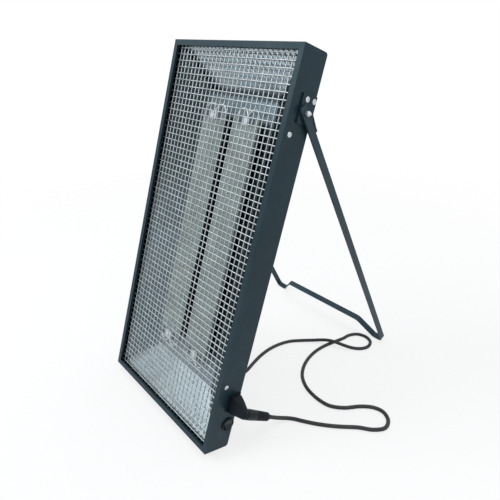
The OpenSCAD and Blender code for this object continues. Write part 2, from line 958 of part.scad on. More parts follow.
// Tube along a path: rings of equal sides, square to the path
function across(path, i) =
    let (last = len(path) - 1, way = unit(path[min(i + 1, last)] - path[max(i - 1, 0)]),
         side = unit(cross([0, 0, 1], way)))
    [side, cross(way, side)];
module tube(path, r, sides) {
    last = len(path) - 1;
    rings = [
        for (i = [0:last])
            let (axes = across(path, i))
            for (k = [0:sides - 1])
                path[i] + r * (cos(360 * k / sides) * axes[0] + sin(360 * k / sides) * axes[1])];
    walls = [
        for (i = [0:last - 1], k = [0:sides - 1])
            let (a = i * sides + k, b = i * sides + (k + 1) % sides)
            each [[a, a + sides, b + sides], [a, b + sides, b]]];
    polyhedron(
        points = rings,
        faces = concat(
            [[for (k = [0:sides - 1]) k]],
            walls,
            [[for (k = [sides - 1:-1:0]) last * sides + k]]));
}

// Smooth curve through a list of points
function spline_at(a, b, c, d, t) =
    (2 * b + (c - a) * t + (2 * a - 5 * b + 4 * c - d) * t * t
     + (3 * b - a - 3 * c + d) * t * t * t) / 2;
function smooth_path(p, steps) = concat(
    [for (i = [0:len(p) - 2], j = [0:steps - 1])
        spline_at(p[max(i - 1, 0)], p[i], p[i + 1], p[min(i + 2, len(p) - 1)], j / steps)],
    [p[len(p) - 1]]);

// Path with its first and last stretch kept straight
function led_path(p, steps) = concat(
    [p[0]], smooth_path([for (i = [1:len(p) - 2]) p[i]], steps), [p[len(p) - 1]]);
function path_length(p) = [for (i = [1:len(p) - 1]) norm(p[i] - p[i - 1])] * [for (i = [1:len(p) - 1]) 1];

// Coil behind the housing: in on the floor, a climb as it turns, out again on top
coil_centre = [-50, -75];
coil_turns = 3;
coil_step = 15;
coil_sides = 6;
climb = 180;
cord_r = cord_d / 2;
function ease(t) = let (u = min(max(t, 0), 1)) u * u * (3 - 2 * u);
function coil_point(turned) =
    let (mid = coil_turns * 180, away = abs(turned - mid),
         r = coil_r + coil_pitch * max(0, away - climb / 2) / 360,
         angle = -90 - turned)
    [coil_centre.x + r * cos(angle), coil_centre.y + r * sin(angle),
     cord_r + coil_layer * ease((turned - mid + climb / 2) / climb)];
coil_in = coil_point(0) + [cord_d, 0, 0];
coil_out = coil_point(coil_turns * 360) - [cord_d, 0, 0];
coil_path = concat(
    [coil_in],
    [for (t = [0:coil_step:coil_turns * 360]) coil_point(t)],
    [coil_out]);
coil_near = min([
    for (i = [0:len(coil_path) - 1], j = [i + 8:1:len(coil_path) - 1])
        norm(coil_path[i] - coil_path[j])]);
echo(coil_gap = coil_near - cord_d);

// Route of the lead on the floor, from the strain relief to the coil
cord_start = stance_point(grip_root + unit(grip_way) * (grip_len + relief_len));
cord_way = unit(stance_way(grip_way));
cord_route = [
    [172, -108, 17], [175, -96, 10], [180, -84, 5], [189, -75, 3.5], [201, -68, 3.5],
    [225, -52, 3.5], [249, -32, 3.5], [274, -7, 3.5], [294, 8, 3.5], [306, 27, 3.5],
    [300, 46, 3.5], [283, 56, 3.5], [264, 51, 3.5], [247, 35, 3.5], [231, 12, 3.5],
    [211, -4, 3.5], [190, -8, 3.5], [167, -6, 3.5], [145, 1, 3.5], [123, 16, 3.5],
    [106, 39, 3.5], [95, 66, 3.5], [90, 95, 3.5], [91, 123, 3.5], [96, 150, 3.5],
    [101, 173, 3.5], [103, 193, 3.5], [113, 210, 3.5], [131, 216, 3.5], [148, 209, 3.5],
    [155, 191, 3.5], [149, 174, 3.5], [136, 161, 4.5], [122, 151, 8], [109, 144, 10.8],
    [96, 138.5, 11.6], [81, 131, 9.5], [62, 117, 5], [44, 98, 3.5], [30, 78, 3.5], [22, 55, 3.5],
    [19, 28, 3.5], [22, -2, 3.5], [30, -32, 3.5], [38, -60, 3.5], [36, -88, 3.5],
    [16, -109, 3.5], [-14, -118, 3.5]];
cord_path = led_path(concat(
    [cord_start, cord_start + cord_d * cord_way], cord_route,
    [coil_in + [cord_d, 0, 0], coil_in]), 1);
cord_sides = 8;

// Tail from the coil to the mains plug
plug_r = 18.5;
plug_place = [-101, -55, plug_r];
tail_route = [
    [-75, -118, 10.5], [-86, -114, 10.5], [-95, -105, 11], [-99.5, -94, 12.5],
    [-101, -81, 15.5]];
tail_path = led_path(concat(
    [coil_out, coil_out - [cord_d, 0, 0]], tail_route,
    [plug_place - [0, cord_d, 0], plug_place]), 2);
echo(cord_length = path_length(cord_path) + path_length(coil_path) + path_length(tail_path));

module lead_cord() {
    color([0.06, 0.07, 0.08])
        tube(cord_path, cord_r, cord_sides);
}

module lead_coil() {
    color([0.06, 0.07, 0.08])
        tube(coil_path, cord_r, coil_sides);
}

module lead_tail() {
    color([0.06, 0.07, 0.08])
        tube(tail_path, cord_r, cord_sides);
}

// Two-pin mains plug lying on the floor, its axis along +Y
plug_neck_len = 18;
plug_neck_r = 5;
plug_body_len = 26;
plug_body_r = 12;
plug_face_t = 10;
pin_r = 2.4;
pin_len = 19;
pin_spacing = 19;
pin_root = 6;
pin_root_r = 2;
earth_slot = [3, 12, 6];
module along_plug(from) {
    translate(plug_place + [0, from, 0])
        rotate([-90, 0, 0])
            children();
}

module mains_plug() {
    face_from = plug_neck_len + plug_body_len;
    color([0.06, 0.07, 0.08])
        difference() {
            union() {
                along_plug(0)
                    cylinder(h = plug_neck_len, r1 = plug_neck_r, r2 = plug_neck_r + 2);
                along_plug(plug_neck_len)
                    cylinder(h = plug_body_len, r1 = plug_body_r, r2 = plug_r - 1);
                along_plug(face_from)
                    cylinder(h = plug_face_t, r = plug_r);
            }
            for (side = [-1, 1]) {
                translate([plug_place.x + side * pin_spacing / 2,
                           plug_place.y + face_from + plug_face_t - pin_root, plug_place.z])
                    rotate([-90, 0, 0])
                        cylinder(h = pin_root + 1, r = pin_root_r + clear);
                translate(plug_place + [
                    -earth_slot.x / 2, face_from + plug_face_t - earth_slot.y / 2,
                    side * (plug_r - earth_slot.z / 2) - earth_slot.z / 2])
                    cube(earth_slot);
            }
        }
}

module mains_plug_pins() {
    face = plug_neck_len + plug_body_len + plug_face_t;
    color([0.8, 0.78, 0.7])
        for (side = [-1, 1])
            translate([side * pin_spacing / 2, 0, 0]) {
                along_plug(face - pin_root)
                    cylinder(h = pin_root, r = pin_root_r);
                along_plug(face)
                    cylinder(h = pin_len, r = pin_r);
            }
}

housing_shell();
rear_cover();
rear_cover_screws();
grille_spacer();
grille_uprights();
grille_cross_wires();
reflector_trough();
reflector_top_end();
reflector_bottom_end();
reflector_rivets();
emitter(-1);  // emitter_left
emitter(1);  // emitter_right
emitter_clips();
emitter_posts();
emitter_leads();
terminal_block();
thermal_cutout();
inner_wires();
bracket_left();
bracket_right();
bracket_rivets();
support_leg();
pivot_bolts();
pivot_washers();
pivot_nuts();
inlet_body();
inlet_pins();
switch_body();
switch_rocker();
connector_body();
strain_relief();
lead_cord();
lead_coil();
lead_tail();
mains_plug();
mains_plug_pins();
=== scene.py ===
"""Infrared panel heater on a folding strip leg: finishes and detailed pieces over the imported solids."""

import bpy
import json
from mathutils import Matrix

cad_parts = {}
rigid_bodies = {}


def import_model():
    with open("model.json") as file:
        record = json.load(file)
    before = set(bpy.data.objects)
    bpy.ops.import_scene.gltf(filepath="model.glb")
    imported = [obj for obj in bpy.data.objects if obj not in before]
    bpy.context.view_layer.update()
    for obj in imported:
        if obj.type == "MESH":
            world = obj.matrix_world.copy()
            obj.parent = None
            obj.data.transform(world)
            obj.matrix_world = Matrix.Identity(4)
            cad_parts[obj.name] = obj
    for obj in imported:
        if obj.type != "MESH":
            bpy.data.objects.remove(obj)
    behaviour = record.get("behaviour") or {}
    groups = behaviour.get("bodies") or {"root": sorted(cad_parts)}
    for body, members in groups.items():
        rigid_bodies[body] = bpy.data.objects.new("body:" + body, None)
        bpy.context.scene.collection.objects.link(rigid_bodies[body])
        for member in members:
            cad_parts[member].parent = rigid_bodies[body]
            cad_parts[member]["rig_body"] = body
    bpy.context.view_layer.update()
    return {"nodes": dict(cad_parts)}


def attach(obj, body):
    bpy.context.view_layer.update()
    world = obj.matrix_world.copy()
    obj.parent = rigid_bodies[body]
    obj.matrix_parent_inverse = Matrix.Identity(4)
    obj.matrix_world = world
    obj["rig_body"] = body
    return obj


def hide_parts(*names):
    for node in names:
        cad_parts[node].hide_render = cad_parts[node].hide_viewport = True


bl_info = {
    "name": "Infrared Panel Heater",
    "version": (1, 0, 0),
    "blender": (4, 5, 0),
    "location": "3D View > Sidebar > Heater",
    "description": "Dresses the packed solids of a standing infrared panel heater",
    "category": "Object",
}

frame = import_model()

import json
import math

import bpy
from bpy.props import FloatProperty, FloatVectorProperty, IntProperty, PointerProperty
from mathutils import Matrix, Vector

NODES = frame["nodes"]
MM = 0.001

# The housing leans back by TILT about its rear lower edge. PANEL takes places from the upright
# housing, with its front at y = 0 and its foot at z = 0, to the standing one.
TILT = math.radians(18)
MID_Y, FLOOR_DROP = 0.195189, 0.001931
PANEL_D, PANEL_H = 0.05, 0.625
PANEL = (
    Matrix.Translation((0, -MID_Y, -FLOOR_DROP))
    @ Matrix.Rotation(-TILT, 4, "X")
    @ Matrix.Translation((0, -PANEL_D, 0))
)

# The connector's grip runs rearwards and down from its root beside the inlet.
GRIP_ROOT = Vector((170.5, 44, 76)) * MM
GRIP_WAY = Vector((0, 68, -26)).normalized()
GRIP_LEN, RELIEF_LEN = 0.028, 0.045
GRIP = PANEL @ Matrix.Translation(GRIP_ROOT) @ Matrix.Rotation(
    -math.pi / 2 + math.atan2(GRIP_WAY.z, GRIP_WAY.y), 4, "X"
)
# The plug lies on its side, its pins towards the rear, each PIN_X mm from its axis.
PIN_X = 9.5
PLUG_PLACE = Vector((-101, -55, 18.5)) * MM
PLUG = Matrix.Translation(PLUG_PLACE) @ Matrix.Rotation(-math.pi / 2, 4, "X")

# Heights in metres between which the reflector's heat tint, partly painted dark reflection, comes and
# goes, and over which the painted reflection of the side slopes deepens.
TINT_AND_REFLECTION_LOW, TINT_AND_REFLECTION_HIGH, SIDE_REFLECTION_RISE = (0.03, 0.16), (0.552, 0.585), (0.26, 0.50)
# Distance from the middle over which the painted dark reflection of the side slopes begins.
SIDE_REFLECTION_START = (0.076, 0.092)
# Height of the dark crease at the upper end, and its half width.
CREASE_HEIGHT, CREASE_HALF = 0.5575, (0.0035, 0.0095)
# Painted shade along the reflector's rim: across, and up from the foot.
RIM_SHADE_ACROSS, RIM_SHADE_LOW = (0.1405, 0.1425), (0.0072, 0.0098)
# Middle of an emitter plate; the painted dark end patches' half width, and their distance up and down
# from it.
PLATE_MID_X, PLATE_MID_Z = 0.0405, 0.316
MARK_SIDE, MARK_RISE = (0.0195, 0.0205), (0.1935, 0.1950)

# Places of fasteners and posts in mm of the upright housing.
WALL_X, BRACKET_X = 150, 152.5
WALL_RIVET_Y, WALL_RIVET_Z = 12.5, (119, 510)
BRACKET_RIVET_Y, BRACKET_RIVET_Z = (28, 42.5), 560
BOLT_Y, BOLT_Z = 27, 542
POST_Y, POST_Z = 36.2, (116, 516)
COVER_SCREW_X, COVER_SCREW_Z = 139, (11, 212, 413, 614)
TERMINAL_X, TERMINAL_Y, TERMINAL_Z = 115, 43.0, (155, 165, 175, 185)
# The mesh: pitch in metres, uprights, cross wires, and the depth at which they touch.
MESH_PITCH, MESH_ACROSS, MESH_UP, MESH_TOUCH = 0.0102, 28, 60, 0.0076
# Sides of small turned fasteners, and rounded edges in metres that the user doesn't change.
FASTENER_SIDES, TERMINAL_SIDES = 28, 20
BLOCK_EDGE, CUTOUT_EDGE, SMALL_EDGE, LOOP_EDGE = 0.0008, 0.0006, 0.0005, 0.0003

# Lamps: place and width in metres; all of them point at LAMP_AIM.
LAMPS = {
    "key": ((-1.05, -1.55, 1.8), 1.1),
    "fill": ((2.1, 0.1, 1.3), 1.8),
    "top": ((0.3, 0.5, 2.4), 2.2),
}
LAMP_AIM, LAMP_COLOUR, SKY_COLOUR = Vector((0, 0, 0.3)), (0.92, 0.97, 1.0), (0.96, 0.98, 1.0, 1)
# The floor shows lit next to the heater and plain further off: distances and shares of plain.
FLOOR_SIZE, FLOOR_FADE, FLOOR_PLAIN = 14, (0.35, 1.7), (0.74, 1.0)
# The darker of the floor's two tones, the size of its clouds, and its roughness.
FLOOR_DARK, FLOOR_CLOUDS, FLOOR_ROUGH = 0.985, 3.0, 0.9
SENSOR_MM = 36


# Sizes and colours that a user would change.


def colour_of(name, description, default):
    """A colour that the user may change."""
    return FloatVectorProperty(
        name=name, description=description, default=default, min=0, max=1, size=3, subtype="COLOR"
    )


def length_of(name, description, default, low, high):
    """A length in metres that the user may change."""
    return FloatProperty(
        name=name, description=description, default=default, min=low, max=high,
        precision=4, subtype="DISTANCE", unit="LENGTH",
    )


def power_of(name, description, default):
    """A lamp's power that the user may change."""
    return FloatProperty(
        name=name, description=description, default=default, min=0, max=500, subtype="POWER",
        unit="POWER",
    )


class HeaterColours(bpy.types.PropertyGroup):
    """Base colours of the finishes."""

    shell: colour_of("Housing paint", "Powder coat of housing and brackets", (0.011, 0.030, 0.042))
    leg: colour_of("Leg paint", "Powder coat of the leg", (0.021, 0.043, 0.056))
    mesh: colour_of("Mesh", "Zinc of the welded mesh", (0.57, 0.63, 0.65))
    mirror: colour_of("Reflector", "Polished sheet behind the plates", (0.44, 0.52, 0.57))
    # Heat tint colour, also used for the painted dark reflection and painted shade on the reflector.
    heat: colour_of("Heat tint", "Reflector where the plates have dulled it", (0.105, 0.150, 0.175))
    bright: colour_of("Fasteners", "Bright steel of rivets, bolts and nuts", (0.66, 0.69, 0.72))
    plate: colour_of("Emitter plates", "Matt ceramic coat of the plates", (0.36, 0.42, 0.405))
    # Colour of the dark bluish patches painted at the plates' ends, around their clips.
    bare: colour_of("Bare plate end", "Bare steel at the ends of the plates", (0.085, 0.130, 0.165))
    tin: colour_of("Tin", "Tinned clips and loops of the plates", (0.88, 0.91, 0.93))
    ceramic: colour_of("Ceramic", "Glazed posts and terminal block", (0.76, 0.72, 0.62))
    plastic: colour_of(
        "Moulded plastic", "Inlet, switch barrel, connector and plug", (0.006, 0.008, 0.012))
    rocker: colour_of("Rocker", "Gloss plastic of the rocker", (0.008, 0.010, 0.013))
    brass: colour_of("Contacts", "Plated brass of pins and blades", (0.72, 0.62, 0.38))
    rubber: colour_of("Lead", "Sheath of the mains lead", (0.020, 0.024, 0.027))
    sleeve: colour_of("Inner wires", "Glass sleeve of the inner wires", (0.55, 0.50, 0.38))
    cutout: colour_of("Thermal cut-out", "Moulded case of the cut-out", (0.10, 0.055, 0.030))


class HeaterSizes(bpy.types.PropertyGroup):
    """Sizes of the pieces that are made here."""

    cord_d: length_of("Lead diameter", "Outside diameter of the mains lead", 0.007, 0.004, 0.01)
    cord_length: length_of("Lead length", "Length from strain relief to plug", 1.96, 0.5, 5)
    coil_r: length_of("Coil radius", "Inner radius of the coil's centre line", 0.033, 0.02, 0.06)
    sheet_edge: length_of("Sheet edge", "Rounding of bent and cut sheet edges", 0.00035, 0.0001, 0.0006)
    strip_edge: length_of("Strip edge", "Rounding of the leg's long edges", 0.0006, 0.0001, 0.0014)
    plate_edge: length_of("Plate edge", "Rounding of the emitter plates", 0.0012, 0.0002, 0.0025)
    loop_swell: length_of("Loop swell", "Added to the radius of the bare loops", 0.0005, 0, 0.001)
    mould_edge: length_of("Moulded edge", "Rounding of moulded pieces", 0.0009, 0.0001, 0.002)
    wire_d: length_of("Mesh wire", "Diameter of the mesh wires", 0.0018, 0.001, 0.0025)
    weld_r: length_of("Weld bead", "Radius of the bead where wires cross", 0.00098, 0.0005, 0.002)
    rivet_d: length_of("Rivet head", "Diameter of a blind rivet's head", 0.008, 0.005, 0.01)
    ring_sides: IntProperty(
        name="Sides", description="Sides of the turned pieces", default=40, min=12, max=96
    )


class HeaterView(bpy.types.PropertyGroup):
    """Camera and light."""

    place: FloatVectorProperty(
        name="Camera", description="Place of the camera", default=(0.5711, -0.5146, 0.6206),
        size=3, subtype="TRANSLATION", unit="LENGTH",
    )
    turn: FloatVectorProperty(
        name="Camera turn", description="Rotation of the camera",
        default=(math.radians(63.84), math.radians(0.2), math.radians(48.61)), size=3, subtype="EULER",
        unit="ROTATION",
    )
    lens: FloatProperty(
        name="Lens", description="Focal length on a sensor 36 mm wide", default=32.16, min=10, max=200,
        subtype="DISTANCE_CAMERA", unit="CAMERA",
    )
    key: power_of("Key lamp", "Power of the large lamp at the front left", 26)
    fill: power_of("Fill lamp", "Power of the soft lamp at the right", 3)
    top: power_of("Top lamp", "Power of the soft lamp overhead", 22)
    sky: FloatProperty(
        name="Sky", description="Strength of the even light all round", default=0.55, min=0, max=2,
        subtype="FACTOR",
    )
    floor: colour_of("Floor", "Colour of the plain floor", (0.93, 0.93, 0.93))


# Finishes, built from shared shader groups.


def shade_group(name, outputs=("Mask",), **inputs):
    """An empty shader group on a vector, with values, and colours where a tuple is the default."""
    group = bpy.data.node_groups.new(name, "ShaderNodeTree")
    group.interface.new_socket(name="Vector", in_out="INPUT", socket_type="NodeSocketVector")
    for label, default in inputs.items():
        kind = "NodeSocketColor" if isinstance(default, tuple) else "NodeSocketFloat"
        socket = group.interface.new_socket(name=label, in_out="INPUT", socket_type=kind)
        socket.default_value = default
    for label in outputs:
        kind = "NodeSocketColor" if label == "Color" else "NodeSocketFloat"
        group.interface.new_socket(name=label, in_out="OUTPUT", socket_type=kind)
    given = group.nodes.new("NodeGroupInput").outputs
    return group, given, group.nodes.new("NodeGroupOutput")


def put(tree, value, socket):
    """Links an output to a socket, or sets the socket's own value."""
    if isinstance(value, bpy.types.NodeSocket):
        tree.links.new(value, socket)
    else:
        socket.default_value = value


def fed(tree, node, **inputs):
    """The node, with the named inputs linked or set."""
    for label, value in inputs.items():
        put(tree, value, node.inputs[label])
    return node


def noise(tree, vector, scale, detail=4.0, roughness=0.55, distortion=0.0):
    """A noise texture on a vector; scale is a number or an output."""
    node = fed(tree, tree.nodes.new("ShaderNodeTexNoise"), Vector=vector, Scale=scale, Detail=detail,
               Roughness=roughness, Distortion=distortion)
    return node.outputs["Fac"]


def spread(tree, value, low, high, to_low=0.0, to_high=1.0):
    """Stretches a value from one range to another, clamped."""
    node = tree.nodes.new("ShaderNodeMapRange")
    node.interpolation_type = "SMOOTHSTEP"
    for number, socket in zip((value, low, high, to_low, to_high), node.inputs):
        put(tree, number, socket)
    return node.outputs["Result"]


def math_node(tree, operation, a, b=0.0):
    """One operation on two values."""
    node = tree.nodes.new("ShaderNodeMath")
    node.operation = operation
    put(tree, a, node.inputs[0])
    put(tree, b, node.inputs[1])
    return node.outputs[0]


def times(tree, a, b):
    """Product of two values."""
    return math_node(tree, "MULTIPLY", a, b)


def raised(tree, value, other, share):
    """The value, raised by a share of another."""
    return math_node(tree, "ADD", value, times(tree, other, share))


def mix_colour(tree, share, a, b):
    """Mixes two colours."""
    node = tree.nodes.new("ShaderNodeMix")
    node.data_type = "RGBA"
    put(tree, share, node.inputs[0])
    put(tree, a, node.inputs[6])
    put(tree, b, node.inputs[7])
    return node.outputs[2]


def stretched(tree, vector, scale, turn):
    """The vector, turned and stretched along its axes."""
    node = fed(tree, tree.nodes.new("ShaderNodeMapping"), Vector=vector, Scale=scale, Rotation=turn)
    return node.outputs["Vector"]


def on_panel(tree, vector):
    """Distance from the middle of the panel and height along it."""
    split = tree.nodes.new("ShaderNodeSeparateXYZ")
    tree.links.new(stretched(tree, vector, (1, 1, 1), (TILT, 0, 0)), split.inputs[0])
    rise = MID_Y * math.sin(TILT) + FLOOR_DROP * math.cos(TILT)
    return (math_node(tree, "ABSOLUTE", split.outputs["X"]),
            math_node(tree, "ADD", split.outputs["Z"], rise))


def build_mottle():
    """Cloudy change of tone, with a finer change inside it."""
    tree, given, end = shade_group(
        "Mottled Tone", ("Color", "Cloud"), Scale=20.0, Light=(0.5, 0.5, 0.5, 1),
        Dark=(0.3, 0.3, 0.3, 1))
    vector, scale = given["Vector"], given["Scale"]
    broad = noise(tree, vector, scale, 5.0, 0.6, 0.4)
    fine = noise(tree, vector, times(tree, scale, 9.0), 3.0)
    cloud = spread(tree, raised(tree, times(tree, broad, 0.75), fine, 0.25), 0.36, 0.64)
    colour = mix_colour(tree, cloud, given["Dark"], given["Light"])
    fed(tree, end, Color=colour, Cloud=cloud)


def build_coat_grain():
    """Fine orange peel of a powder coat or a mould."""
    tree, given, end = shade_group("Coat Grain", ("Height",), Scale=900.0)
    vector, scale = given["Vector"], given["Scale"]
    peel = noise(tree, vector, scale, 2.0, 0.5)
    swell = noise(tree, vector, times(tree, scale, 0.14), 2.0, 0.5)
    fed(tree, end, Height=raised(tree, swell, peel, 0.5))


def build_scuffs():
    """Sparse thin scratches and rubbed patches."""
    tree, given, end = shade_group("Handling Scuffs", Scale=30.0, Amount=0.3)
    vector, scale = given["Vector"], given["Scale"]
    thin = noise(tree, stretched(tree, vector, (1, 1, 14), (0.5, 0.3, 0.2)), scale, 6.0, 0.7, 0.6)
    crossed = noise(tree, stretched(tree, vector, (12, 2, 1), (0.1, 0.7, 0.9)), scale, 6.0, 0.7, 0.9)
    rubbed = noise(tree, vector, times(tree, scale, 0.4), 3.0)
    line = math_node(tree, "MAXIMUM", spread(tree, thin, 0.66, 0.72), spread(tree, crossed, 0.68, 0.74))
    mask = times(tree, line, spread(tree, rubbed, 0.45, 0.62))
    fed(tree, end, Mask=times(tree, mask, given["Amount"]))


def build_dust():
    """Dull film of dust, thicker in clouds."""
    tree, given, end = shade_group("Dust Film", Scale=14.0, Amount=0.2)
    film = noise(tree, given["Vector"], given["Scale"], 6.0, 0.65)
    cloud = spread(tree, film, 0.42, 0.7)
    fed(tree, end, Mask=times(tree, cloud, given["Amount"]))


def build_drawn_lines():
    """Fine lines along one axis, as rolling and drawing leave them."""
    tree, given, end = shade_group("Drawn Lines", ("Height", "Streaks"), Scale=60.0)
    along = stretched(tree, given["Vector"], (9, 9, 0.35), (TILT, 0, 0))
    lines = noise(tree, along, given["Scale"], 5.0, 0.65)
    fed(tree, end, Height=lines, Streaks=spread(tree, lines, 0.4, 0.62))


def build_tint_and_painted_reflection():
    """Heat tint of a sheet behind the hot plates, partly painted dark reflection, fading towards the
    panel's two ends; with painted reflection on the side slopes, a darker crease and painted shade at the
    rim.
    """
    tree, given, end = shade_group(
        "Heat Tint", ("Mask", "Deep", "Rim", "Crease"), Amount=1.0, Sides=0.0)
    across, straight = on_panel(tree, given["Vector"])
    ragged = noise(tree, given["Vector"], 9.0, 4.0, 0.6)
    wander = times(tree, math_node(tree, "SUBTRACT", ragged, 0.5), 0.10)
    height = math_node(tree, "ADD", straight, wander)
    low = spread(tree, height, *TINT_AND_REFLECTION_LOW)
    high = spread(tree, height, *TINT_AND_REFLECTION_HIGH, 1.0, 0.0)
    cloud = spread(tree, ragged, 0.3, 0.7, 0.82, 1.0)
    # Painted dark reflection on the side slopes, deeper higher up.
    side = times(tree, spread(tree, across, *SIDE_REFLECTION_START), given["Sides"])
    deep_reflection = times(tree, side, spread(tree, height, *SIDE_REFLECTION_RISE))
    # A darker band along the crease at the upper end, in the tint colour.
    off = math_node(tree, "ABSOLUTE", math_node(tree, "SUBTRACT", straight, CREASE_HEIGHT))
    off = raised(tree, off, wander, 0.06)
    crease = spread(tree, off, *CREASE_HALF, 0.85, 0.0)
    # Painted shade along the rim.
    rim_shade = math_node(tree, "MAXIMUM", spread(tree, across, *RIM_SHADE_ACROSS),
                    spread(tree, straight, *RIM_SHADE_LOW, 1.0, 0.0))
    mask = times(tree, math_node(tree, "MAXIMUM", times(tree, low, high), side), cloud)
    fed(tree, end, Mask=times(tree, mask, given["Amount"]), Deep=deep_reflection, Rim=rim_shade,
        Crease=crease)


def build_end_marks():
    """Dark bluish patches painted at both ends of the two plates, where their clips and loops sit."""
    tree, given, end = shade_group("End Marks")
    across, height = on_panel(tree, given["Vector"])
    across = math_node(tree, "ABSOLUTE", math_node(tree, "SUBTRACT", across, PLATE_MID_X))
    away = math_node(tree, "ABSOLUTE", math_node(tree, "SUBTRACT", height, PLATE_MID_Z))
    inside = spread(tree, across, *MARK_SIDE, 1.0, 0.0)
    fed(tree, end, Mask=times(tree, inside, spread(tree, away, *MARK_RISE)))


# Strengths that all finishes share.
COAT_ROUGHNESS, STREAK_ROUGH, TINT_AND_REFLECTION_AMOUNT = 0.25, 0.10, 0.95
# Scale of each kind of wear, and how much rougher it makes a surface.
WEAR = {"Handling Scuffs": (26.0, 0.2), "Dust Film": (16.0, 0.5)}
# Shares of the heat tint colour under each mask, laid over each other in this order: tint with painted
# dark reflection, painted side reflection, darker crease, painted rim shade.
TINT_AND_SHADE_TONES = {"Mask": 1, "Deep": 0.33, "Crease": 0.30, "Rim": 0.10}

GROUP_BUILDERS = {
    "Mottled Tone": build_mottle,
    "Coat Grain": build_coat_grain,
    "Handling Scuffs": build_scuffs,
    "Dust Film": build_dust,
    "Drawn Lines": build_drawn_lines,
    "Heat Tint": build_tint_and_painted_reflection,
    "End Marks": build_end_marks,
}


def placed(tree, name, vector, **values):
    """Outputs of a shared group, put in a material with its own values."""
    if name not in bpy.data.node_groups:
        GROUP_BUILDERS[name]()
    node = tree.nodes.new("ShaderNodeGroup")
    node.node_tree = bpy.data.node_groups[name]
    return fed(tree, node, Vector=vector, **values).outputs


def finish(name, base, tones, patch, rough, grain, depth, metallic=0.0, coat=0.0, specular=0.5,
           sheen=(1, 1, 1), scuffs=0.0, scuff_tone=None, dust=0.0, dust_tone=(0.34, 0.33, 0.31),
           lines=0.0, line_scale=60.0, swell=0.0, swell_scale=12.0, heat=None, reflected_sides=0.0,
           end_patches=None):
    """A finish with clouds of tone, grain, scuffs, dust and drawn lines, each as strong as asked.

    The clouds run between two shares of the base colour.
    """
    chosen = bpy.context.scene.heater_colours
    material = bpy.data.materials.new(name)
    material.use_nodes = True
    tree = material.node_tree
    vector = tree.nodes.new("ShaderNodeTexCoord").outputs["Object"]
    light, dark = (darker(getattr(chosen, base), share) for share in tones)
    tone = placed(tree, "Mottled Tone", vector, Scale=patch, Light=(*light, 1), Dark=(*dark, 1))
    colour = tone["Color"]
    # Heat tint with painted dark reflection, a darker crease and painted shade, from the reflector's
    # masks.
    if heat:
        tint = placed(tree, "Heat Tint", vector, Amount=TINT_AND_REFLECTION_AMOUNT, Sides=reflected_sides)
        for mask, share in TINT_AND_SHADE_TONES.items():
            dulled_and_shaded = darker(getattr(chosen, heat), share)
            colour = mix_colour(tree, tint[mask], colour, (*dulled_and_shaded, 1))
    # Dark bluish patches painted at the ends of the plates.
    if end_patches:
        marks = placed(tree, "End Marks", vector)
        bare = getattr(chosen, end_patches)
        colour = mix_colour(tree, marks["Mask"], colour, (*bare, 1))
    roughness = spread(tree, tone["Cloud"], 0.0, 1.0, *rough)
    grained = placed(tree, "Coat Grain", vector, Scale=grain)
    height = times(tree, grained["Height"], depth)
    if lines:
        drawn = placed(tree, "Drawn Lines", vector, Scale=line_scale)
        height = raised(tree, height, drawn["Height"], lines)
        roughness = raised(tree, roughness, drawn["Streaks"], STREAK_ROUGH)
    if swell:
        height = raised(tree, height, noise(tree, vector, swell_scale, 2.0, 0.45), swell)
    for group, amount, wear_tone in (
        ("Handling Scuffs", scuffs, scuff_tone), ("Dust Film", dust, dust_tone),
    ):
        if amount:
            scale, dulls = WEAR[group]
            mask = placed(tree, group, vector, Scale=scale, Amount=amount)["Mask"]
            colour = mix_colour(tree, mask, colour, (*wear_tone, 1))
            roughness = raised(tree, roughness, mask, dulls)
    bump = fed(tree, tree.nodes.new("ShaderNodeBump"), Strength=1.0, Distance=1.0, Height=height)
    fed(tree, tree.nodes["Principled BSDF"], **{
        "Base Color": colour, "Roughness": roughness, "Metallic": metallic,
        "Specular IOR Level": specular, "Specular Tint": (*sheen, 1), "Coat Weight": coat,
        "Coat Roughness": COAT_ROUGHNESS, "Normal": bump.outputs["Normal"]})
    return material


def finish_for(slot):
    """The finish of a material slot, built at its first use."""
    *row, more = FINISHES[slot]
    return bpy.data.materials.get(row[0]) or finish(*row, **more)


def darker(colour, share):
    """A colour times a share."""
    return tuple(c * share for c in colour)


# Tones of light on paint and plastic, and of their scuffs and dust.
PAINT_SHEEN, PLASTIC_SHEEN, RUBBER_SHEEN = (0.74, 0.93, 1.0), (0.62, 0.86, 1.0), (0.7, 0.9, 1.0)
PAINT_WEAR, PLASTIC_SCUFF, PLASTIC_DUST = (0.20, 0.26, 0.29), (0.04, 0.05, 0.06), (0.14, 0.17, 0.19)


def mirror(name, rough, share=1.0, sides=0.0):
    """Polished sheet, dulled by the hot plates and partly painted dark reflection; sides paints
    reflection on its side slopes.
    """
    return name, "mirror", (share, 0.84 * share), 7, rough, 1200, 0.000003, dict(
        metallic=1.0, lines=0.000004, line_scale=90, swell=0.0005, swell_scale=9, dust=0.06,
        dust_tone=(0.30, 0.27, 0.23), heat="heat", reflected_sides=sides)


